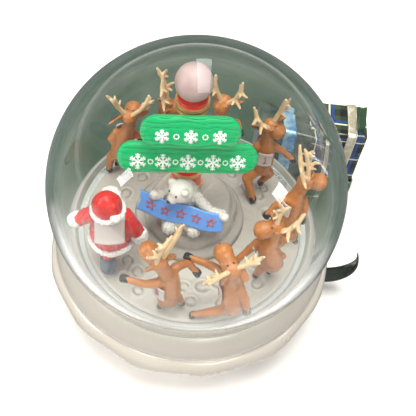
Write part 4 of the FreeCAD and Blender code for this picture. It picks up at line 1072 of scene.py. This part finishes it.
def makeBanner(s):
    left, right = Vector(s["left"]), Vector(s["right"])
    run = right - left
    along = run.normalized()
    lift = Matrix.Rotation(math.radians(s["lean"] - 90), 3, along) @ Vector((0, 0, 1))
    lift = (lift - along * lift.dot(along)).normalized()
    facing = along.cross(lift)

    def at(across, high, out=0.0):      # across and high from -1 to 1
        t = (across + 1) / 2
        dip = -s["sag"] * (1 - across * across)
        ripple = 0.45 * math.sin(across * 6.0 + 0.7)
        return (left + run * t + lift * (high * s["tall"] / 2 + dip * 0.6 + ripple)
                + facing * (out + 0.5 * math.sin(across * 4.0)))

    columns, rows = 72, 12
    bm = bmesh.new()
    layers = []
    for out in (0.0, s["thick"]):
        layer = []
        for column in range(columns + 1):
            line = []
            for row in range(rows + 1):
                across, high = column / columns * 2 - 1, row / rows * 2 - 1
                notch = (1 - abs(high)) * 0.06 * abs(across) ** 8
                line.append(bm.verts.new(at(across * (1 - notch), high, out)))
            layer.append(line)
        layers.append(layer)
    slabFaces(bm, *layers)
    addPiece("bannerStrip", meshOf(bm), bannerBlue, "turntable", ["banner"])
    marks = bmesh.new()
    reach = run.length / 2
    for spot in s["stars"]:
        outline = []
        for point in range(10):
            size = s["starSize"] * (1.0 if point % 2 == 0 else 0.45)
            angle = math.pi / 2 + math.pi / 5 * point
            outline.append(at((spot + size * math.cos(angle)) / reach,
                              size * math.sin(angle) / (s["tall"] / 2), s["thick"] + 0.02))
        stroke(marks, outline, 0.32, closed=True)
    addPiece("bannerStars", meshOf(marks), starRed, "turntable")


makeBanner(bannerSettings)
print("banner done")


# the runner in the red coat, seen from behind, with the number card on the back
runnerSettings = {
    "middle": (-31.4, -21.6, 72.0), "voxel": 0.42,
    "cardFacing": (0.10, -0.86, 0.50),
}


def makeRunner(s):
    red, trim, boots, gloves, skin = (bmesh.new() for _ in range(5))
    # coat, sleeves and trousers
    limb(red, [(-31.6, -21.0, 64.2), (-31.4, -21.2, 70.0), (-31.6, -21.6, 77.0)],
         [8.6, 7.8, 5.6])
    limb(red, [(-37.2, -21.8, 76.6), (-41.6, -22.0, 73.2), (-44.2, -22.0, 71.0)],
         [3.4, 3.0, 2.7])
    limb(red, [(-26.2, -22.0, 76.6), (-22.6, -22.6, 70.4), (-20.6, -22.6, 65.8)],
         [3.6, 3.3, 2.9])
    limb(red, [(-32.6, -23.0, 62.0), (-32.8, -25.4, 55.0), (-32.6, -27.6, 50.5)],
         [4.2, 3.4, 2.9])
    limb(red, [(-29.8, -19.0, 61.0), (-28.6, -13.4, 56.5), (-28.8, -13.6, 50.0)],
         [4.2, 3.4, 2.8])
    coatMesh = settle(meshOf(red), voxel=s["voxel"], smooth=5)
    moved = []
    for vertex in coatMesh.vertices:        # folds in the coat
        spot = vertex.co
        fold = noise.fractal(Vector((spot.x * 0.35, spot.y * 0.35, spot.z * 0.16)), 0.6, 2.0, 3)
        moved.append(spot + vertex.normal * fold * 0.55)
    for vertex, spot in zip(coatMesh.vertices, moved):
        vertex.co = spot
    # stocking hat, a little off centre, with its tail folded down to the pompom
    hat = bmesh.new()
    limb(hat, [(-32.2, -22.2, 83.2), (-32.2, -22.6, 85.4)], [5.7, 4.7])
    limb(hat, [(-31.8, -22.8, 86.2), (-29.8, -24.4, 86.2), (-28.6, -25.6, 84.2)],
         [3.4, 2.4, 1.7])
    hatMesh = settle(meshOf(hat), voxel=s["voxel"], smooth=5)
    roughSkin(hatMesh, 0.2, 0.4, 4.0)
    addPiece("runnerCoat", joinMeshes([(coatMesh, 0), (hatMesh, 0)]), coatRed, "turntable",
             ["santa"])
    # fur trim: collar of hair, hem, cuffs and pompom
    blob(trim, (-28.4, -26.6, 82.6), (2.15,) * 3)
    for index in range(26):
        angle = 2 * math.pi * index / 26
        blob(trim, (-32.0 + 5.5 * math.cos(angle), -22.0 + 5.5 * math.sin(angle), 80.2),
             (1.35, 1.35, 1.5), detail=2)
    for index in range(44):
        angle = 2 * math.pi * index / 44
        blob(trim, (-31.6 + 8.5 * math.cos(angle), -21.2 + 8.5 * math.sin(angle),
                    60.4 + 0.25 * math.sin(angle * 5)), (1.15, 1.15, 1.35), detail=2)
    limb(trim, [(-44.0, -22.0, 71.3), (-45.2, -22.0, 70.4)], [3.3, 3.1])
    limb(trim, [(-20.7, -22.6, 66.2), (-20.1, -22.7, 64.8)], [3.5, 3.3])
    # beard at the front and hair at the neck
    limb(trim, [(-31.8, -16.8, 81.5), (-31.6, -14.6, 76.4)], [3.9, 2.4])
    trimMesh = settle(meshOf(trim), voxel=0.36, smooth=2)
    roughSkin(trimMesh, 0.4, 1.3, 9.0)
    addPiece("runnerTrim", trimMesh, trimWhite, "turntable", ["santa"])
    limb(boots, [(-32.6, -27.4, 51.6), (-32.6, -28.6, 47.0)], [3.3, 3.5])
    limb(boots, [(-32.6, -28.6, 45.6), (-32.2, -25.4, 45.2)], [2.7, 2.3])
    limb(boots, [(-28.8, -13.6, 51.0), (-28.8, -13.8, 47.0)], [3.2, 3.4])
    limb(boots, [(-28.8, -13.8, 45.6), (-28.4, -10.2, 45.2)], [2.7, 2.3])
    bootMesh = settle(meshOf(boots), voxel=s["voxel"], smooth=3)
    for vertex in bootMesh.vertices:
        vertex.co.z = max(vertex.co.z, trackTop)
    addPiece("runnerBoots", bootMesh, bootGrey, "turntable", ["santa"])
    limb(gloves, [(-45.6, -22.0, 70.0), (-46.8, -22.0, 69.4)], [2.5, 2.3])
    limb(gloves, [(-46.0, -21.4, 70.6), (-46.4, -20.2, 71.8)], [1.2, 1.0])
    limb(gloves, [(-20.0, -22.8, 64.2), (-19.6, -22.8, 62.6)], [2.4, 2.2])
    addPiece("runnerMittens", settle(meshOf(gloves), voxel=0.36, smooth=3), mittenGreen,
             "turntable", ["santa"])
    # the face: plain and calm, half hidden by the hair and beard
    blob(skin, (-32.0, -18.8, 82.4), (3.7, 3.4, 3.3))
    blob(skin, (-31.9, -15.3, 82.2), (0.95, 0.95, 0.85))
    dark = bmesh.new()
    for side in (-1, 1):
        blob(dark, (-31.9 + side * 1.3, -15.75, 83.3), (0.38,) * 3)
    addPiece("runnerFace", joinMeshes([(settle(meshOf(skin), voxel=0.36, smooth=3), 0),
                                       (meshOf(dark), 1)]), [skinPaint, hoofPaint],
             "turntable", ["santa"])
    facing = Vector(s["cardFacing"]).normalized()
    card, at = curvedCard(Vector(s["middle"]) + facing * 8.3, facing, Vector((0, 0, 1)), 9.5,
                          11.2, 10.8, 0.55, flare=1.2)
    addPiece("runnerCard", meshOf(card), bibPaper, "turntable", ["santa_bib"])


makeRunner(runnerSettings)
print("runner done")


# the wrapped parcel behind the base, its ribbons, and the curled ribbon end
parcelSettings = {
    "low": (27.0, 52.0, 0.0), "high": (77.0, 72.0, 51.0), "corner": 1.6, "cuts": 30,
    "dent": 0.5, "seed": 2.0, "strapOut": 0.28, "strapThick": 0.42, "ripple": 0.5,
    "room": ((0.05, -5.0), (62.9, -5.0), (62.9, 32.4), (59.9, 32.4), (59.9, 44.0),
             (0.05, 44.0)),
    "cream": (67.5, 71.5, 1.0), "blue": (39.5, 46.5, 4.0),
}


def roundedBox(low, high, corner, cuts, dent, seed):
    bm = bmesh.new()
    bmesh.ops.create_cube(bm, size=2.0)
    bmesh.ops.subdivide_edges(bm, edges=bm.edges[:], cuts=cuts, use_grid_fill=True)
    half = (Vector(high) - Vector(low)) / 2
    middle = (Vector(high) + Vector(low)) / 2
    for vertex in bm.verts:
        spot = Vector([value * reach for value, reach in zip(vertex.co, half)])
        core = Vector([max(-reach + corner, min(reach - corner, value))
                       for value, reach in zip(spot, half)])
        out = spot - core
        if out.length > 1e-6:
            spot = core + out.normalized() * corner
        share = [abs(value) / reach for value, reach in zip(spot, half)]
        flat = sorted(share)
        uneven = noise.noise(spot * 0.09 + Vector((seed, 0, 0)))
        sink = dent * max(0.0, 1 - flat[1] ** 3) * (0.5 + uneven)
        axis = share.index(max(share))
        spot[axis] -= math.copysign(max(0.0, sink), spot[axis])
        vertex.co = spot + middle
    return meshOf(bm)


def cutAway(mesh, tool):
    holder, cutter = linked("work", mesh), linked("tool", tool)
    step = holder.modifiers.new("cut", "BOOLEAN")
    step.operation = "DIFFERENCE"
    step.solver = "EXACT"
    step.object = cutter
    done = finished(holder)
    bpy.data.objects.remove(cutter)
    return done


def thickSheet(grid, thick):        # a sheet of points, thickened evenly on both sides
    bm = bmesh.new()
    made = [[bm.verts.new(spot) for spot in line] for line in grid]
    for here, there in zip(made, made[1:]):
        for index in range(len(here) - 1):
            bm.faces.new((here[index], there[index], there[index + 1], here[index + 1]))
    bmesh.ops.recalc_face_normals(bm, faces=bm.faces)
    holder = linked("work", meshOf(bm))
    step = holder.modifiers.new("thick", "SOLIDIFY")
    step.thickness = thick
    step.offset = 0.0
    return finished(holder)


def strapPath(low, high, out, corner, steps):       # loop in Y and Z round the parcel
    path = []
    reach = corner + out
    corners = ((high[1] - corner, high[2] - corner, 0), (low[1] + corner, high[2] - corner, 90),
               (low[1] + corner, low[2] + corner, 180), (high[1] - corner, low[2] + corner, 270))
    for y, z, start in corners:
        for step in range(steps + 1):
            angle = math.radians(start + 90 * step / steps)
            path.append((y + reach * math.cos(angle), z + reach * math.sin(angle)))
    dense = []
    for (y, z), (nextY, nextZ) in zip(path, path[1:] + path[:1]):
        pieces = max(1, int(math.hypot(nextY - y, nextZ - z) / 1.5))
        dense += [(y + (nextY - y) * k / pieces, z + (nextZ - z) * k / pieces)
                  for k in range(pieces)]
    return dense + dense[:1]


def makeStrap(name, node, slotName, material, s, left, right, seed):
    low, high = s["low"], s["high"]
    path = strapPath(low, high, s["strapOut"], s["corner"], 5)
    columns = max(4, int((right - left) * 1.6))
    midY, midZ = (low[1] + high[1]) / 2, (low[2] + high[2]) / 2
    grid = []
    for y, z in path:
        line = []
        for column in range(columns + 1):
            x = left + (right - left) * column / columns
            lift = s["ripple"] * noise.noise(Vector((x * 0.5, y * 0.25, z * 0.25 + seed)))
            push = Vector((y - midY, z - midZ)).normalized() * max(0.0, lift)
            line.append((x + lift * 0.5, y + push.x, max(0.2, z + push.y)))
        grid.append(line)
    addPiece(name, thickSheet(grid, s["strapThick"]), material, "base", [node])


def makeParcel(s):
    block = roundedBox(s["low"], s["high"], s["corner"], s["cuts"], s["dent"], s["seed"])
    room = lathe(s["room"], 120)        # the space that the base takes up
    addPiece("parcelBox", cutAway(block, room), tartan, "base", ["gift_parcel"],
             smooth=False)
    makeStrap("parcelCreamStrap", "parcel_ribbon", "cream_gold", creamRibbon, s, *s["cream"])
    makeStrap("parcelBlueStrap", "parcel_band", "foil_blue", blueFoil, s, *s["blue"])


makeParcel(parcelSettings)


sashSettings = {"left": 61.3, "right": 77.5, "front": 51.6, "back": 72.4, "top": 17.0,
                "thick": 0.45, "pinchAt": 70.0, "pinch": 0.35}


def makeSash(s):        # the wide green ribbon low round the parcel's corner, pinched in front
    grid = []
    path = ([(s["left"] + k, s["front"]) for k in range(0, 15, 1)]
            + [(s["right"] - 0.9, s["front"]), (s["right"] - 0.2, s["front"] + 0.5),
               (s["right"], s["front"] + 1.4)]
            + [(s["right"], s["front"] + 1.4 + k) for k in range(1, 19)]
            + [(s["right"] - 0.4, s["back"] - 0.3)])
    for index, (x, y) in enumerate(path):
        line = []
        near = math.exp(-((x - s["pinchAt"]) / 3.0) ** 2) * (y < s["front"] + 1)
        pinch = 1.0 - s["pinch"] * near
        for row in range(13):
            z = 0.3 + (s["top"] - 0.6) * row / 12
            z = s["top"] / 2 + (z - s["top"] / 2) * pinch
            wave = 0.22 * math.sin(index * 0.7 + row * 0.35)
            line.append((x + (wave if y > s["front"] + 1 else 0), y + min(0.0, wave), z))
        grid.append(line)
    addPiece("parcelSash", thickSheet(grid, s["thick"]), sashGreen, "base", ["parcel_sash"])


makeSash(sashSettings)


tailSettings = {"spot": (71.6, 56.8, 50.8), "outline": (
    (0.0, 3.8), (-0.7, 3.5), (-1.8, 2.8), (-2.4, 2.1), (-2.9, 1.5), (-3.3, 0.9), (-3.5, 0.7)),
    "heights": (0.0, 3.0, 7.0, 10.5, 13.5, 16.2, 17.4)}


def makeTail(s):        # the standing ribbon end on the parcel, folded along its middle
    x0, y0, z0 = s["spot"]
    grid = []
    for (left, right), height in zip(s["outline"], s["heights"]):
        line = []
        for step in range(9):
            t = step / 8
            fold = abs(t - 0.45) * 2.2
            line.append((x0 + left + (right - left) * t,
                         y0 - 1.2 + fold * 0.8 - height * 0.06, z0 + height))
        grid.append(line)
    mesh = settle(thickSheet(grid, 0.6), subdivide=2)
    addPiece("parcelRibbonEnd", mesh, sashGreen, "base", ["parcel_bow_tail"])


makeTail(tailSettings)


curlSettings = {
    "line": ((45.6, 10.7), (52.0, 10.4), (58.0, 10.3), (64.0, 10.9), (69.0, 12.9), (73.0, 16.4),
             (75.6, 21.0), (76.2, 26.0), (75.4, 30.2), (74.4, 33.3)),
    "wide": (7.8, 7.8, 7.8, 7.8, 7.6, 7.0, 6.0, 4.4, 2.6, 0.8),
    "thick": (1.5, 1.5, 1.6, 1.8, 1.9, 1.8, 1.6, 1.3, 0.9, 0.4),
}


def makeCurl(s):
    bm = bmesh.new()
    rings = []
    sides = 24
    points = [Vector((x, 0, z)) for x, z in s["line"]]
    for index, (point, wide, thick) in enumerate(zip(points, s["wide"], s["thick"])):
        before, after = points[max(0, index - 1)], points[min(len(points) - 1, index + 1)]
        along = (after - before).normalized()
        out = along.cross(Vector((0, 1, 0)))
        ring = []
        for side in range(sides):
            angle = 2 * math.pi * side / sides
            across = math.copysign(abs(math.cos(angle)) ** 0.7, math.cos(angle)) * wide / 2
            cup = 0.05 * across * across
            ring.append(bm.verts.new(point + Vector((0, across, 0))
                                     + out * (math.sin(angle) * thick / 2 - cup)))
        rings.append(ring)
    bridge(bm, rings)
    bm.faces.new(rings[0])
    bm.faces.new(list(reversed(rings[-1])))
    bmesh.ops.recalc_face_normals(bm, faces=bm.faces)
    addPiece("ribbonCurl", settle(meshOf(bm), subdivide=2), curlBlack, "base",
             ["ribbon_curl"])


makeCurl(curlSettings)
print("parcel and ribbons done")


# the floor, a card seen only through the glass and a card mirrored only in it
stageSettings = {
    "floor": 6.0, "cardIn": 0.066, "cardOut": 0.62, "cardHeight": 0.0008,
    "cardFront": -0.015, "cardBack": 0.045, "shadeOut": 1.5,
}


def ringCard(name, inner, outer, height, count=96):
    bm = bmesh.new()
    rings = [[bm.verts.new((radius * math.cos(2 * math.pi * step / count),
                            radius * math.sin(2 * math.pi * step / count), height))
              for step in range(count)] for radius in (inner, outer)]
    for step in range(count):
        after = (step + 1) % count
        bm.faces.new((rings[0][step], rings[1][step], rings[1][after], rings[0][after]))
    return linked(name, meshOf(bm))


def makeStage(s):
    bpy.ops.mesh.primitive_plane_add(size=s["floor"])
    floor = bpy.context.object
    floor.name = "paleFloor"
    mat, tree, shader, place = startMaterial("paleFloor", Roughness=0.7)
    paper = addNode(tree, "ShaderNodeTexNoise", {"Vector": place, "Scale": 6.0})
    tone = mixColour(tree, paper.outputs["Fac"], (0.94, 0.94, 0.94, 1), (0.96, 0.96, 0.96, 1))
    tree.links.new(tone, shader.inputs["Base Color"])
    floor.data.materials.append(mat)

    card = ringCard("greenCard", s["cardIn"], s["cardOut"], s["cardHeight"])
    mat, tree, shader, place = startMaterial("greenCard", Roughness=0.9)
    axes = addNode(tree, "ShaderNodeSeparateXYZ", {"Vector": place})
    cloud = addNode(tree, "ShaderNodeTexNoise", {
        "Vector": place, "Scale": 14.0, "Detail": 4.0, "Distortion": 1.5})
    back = spread(tree, calc(tree, "ADD", axes.outputs["Y"], calc(
        tree, "MULTIPLY", cloud.outputs["Fac"], 0.05)), s["cardFront"], s["cardBack"])
    green = mixColour(tree, spread(tree, cloud.outputs["Fac"], 0.35, 0.7),
                      (0.030, 0.068, 0.045, 1), (0.080, 0.120, 0.092, 1))
    tree.links.new(mixColour(tree, back, (0.85, 0.85, 0.85, 1), green),
                   shader.inputs["Base Color"])
    card.data.materials.append(mat)
    shade = ringCard("shadeCard", s["cardIn"], s["shadeOut"], s["cardHeight"] * 2)
    mat, tree, shader, place = startMaterial("shadeCard", Roughness=0.9)
    cloud = addNode(tree, "ShaderNodeTexNoise", {"Vector": place, "Scale": 9.0, "Detail": 3.0})
    tree.links.new(mixColour(tree, cloud.outputs["Fac"], (0.06, 0.07, 0.08, 1),
                             (0.24, 0.25, 0.26, 1)), shader.inputs["Base Color"])
    shade.data.materials.append(mat)
    shade.visible_transmission = False
    card.visible_glossy = False
    for item in (card, shade):
        item.visible_camera = False
        item.visible_diffuse = False
        item.visible_shadow = False


def addLamp(name, spot, target, size, power):
    data = bpy.data.lights.new(name, "AREA")
    data.energy = power
    data.color = worldSettings["lamp"]
    data.size = size
    lamp = bpy.data.objects.new(name, data)
    bpy.context.scene.collection.objects.link(lamp)
    lamp.location = spot
    lamp.rotation_euler = (Vector(target) - Vector(spot)).to_track_quat("-Z", "Y").to_euler()
    return lamp


# the studio lights stay out of the glass: only the small windows below mirror in it
lampSettings = {
    "overhead": ((0.0, 0.05, 1.1), (0.0, 0.0, 0.05), 0.7, 16.5),
    "leftSide": ((-0.9, -0.4, 0.7), (0.0, 0.0, 0.07), 0.5, 7.0),
    "frontFill": ((0.4, -0.9, 0.8), (0.0, 0.0, 0.05), 0.6, 6.5),
}
worldSettings = {"colour": (1.0, 0.97, 0.93, 1), "strength": 0.17, "lamp": (1.0, 0.965, 0.915)}
# where each bright window stands, the spot of the glass that it faces, its width and height
windowSettings = {
    "topBlock": ((-0.022, 0.361, 0.401), (-0.0035, 0.0044, 0.1297), 0.060, 0.300, 4.0),
    "leftPane": ((-0.381, -0.182, 0.343), (-0.0239, -0.0315, 0.1151), 0.055, 0.100, 18.0),
    "rightPane": ((0.423, -0.144, 0.297), (0.0277, -0.0302, 0.1139), 0.080, 0.080, 18.0),
    "rightStreak": ((0.455, 0.150, 0.105), (0.0405, -0.0132, 0.1123), 0.014, 0.170, 5.0),
}


def makeWindows(s):
    for name, (spot, target, wide, tall, bright) in s.items():
        bm = bmesh.new()
        bmesh.ops.create_grid(bm, x_segments=1, y_segments=1, size=0.5)
        bmesh.ops.scale(bm, vec=(wide, tall, 1), verts=bm.verts)
        pane = linked(name, meshOf(bm))
        pane.location = spot
        turn = (Vector(target) - Vector(spot)).to_track_quat("Z", "Y")
        pane.rotation_euler = turn.to_euler()
        mat, tree, shader, place = startMaterial(name + "Glow", Roughness=0.8)
        bars = addNode(tree, "ShaderNodeTexNoise", {"Vector": place, "Scale": 24.0, "Detail": 2.0})
        glow = mixColour(tree, bars.outputs["Fac"], (0.55, 0.57, 0.62, 1), (1.0, 1.0, 1.0, 1))
        tree.links.new(glow, shader.inputs["Emission Color"])
        shader.inputs["Emission Strength"].default_value = bright
        pane.data.materials.append(mat)
        pane.visible_camera = False
        pane.visible_diffuse = False
        pane.visible_shadow = False
        pane.visible_transmission = False


makeCamera(cameraSettings)
makeStage(stageSettings)
makeWindows(windowSettings)
glassOut = bpy.data.collections.new("glassOut")
glassOut.objects.link(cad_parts["glass_dome"])
glassOut.collection_objects[0].light_linking.link_state = "EXCLUDE"
for name, placing in lampSettings.items():
    lamp = addLamp(name, *placing)
    lamp.light_linking.receiver_collection = glassOut
    lamp.visible_transmission = False

world = bpy.data.worlds.new("studio")
bpy.context.scene.world = world
world.use_nodes = True
sky = world.node_tree.nodes["Background"]
sky.inputs["Color"].default_value = worldSettings["colour"]
sky.inputs["Strength"].default_value = worldSettings["strength"]
bpy.context.scene.view_settings.view_transform = "Standard"
print("light and camera done,", len(allJoined), "new pieces")
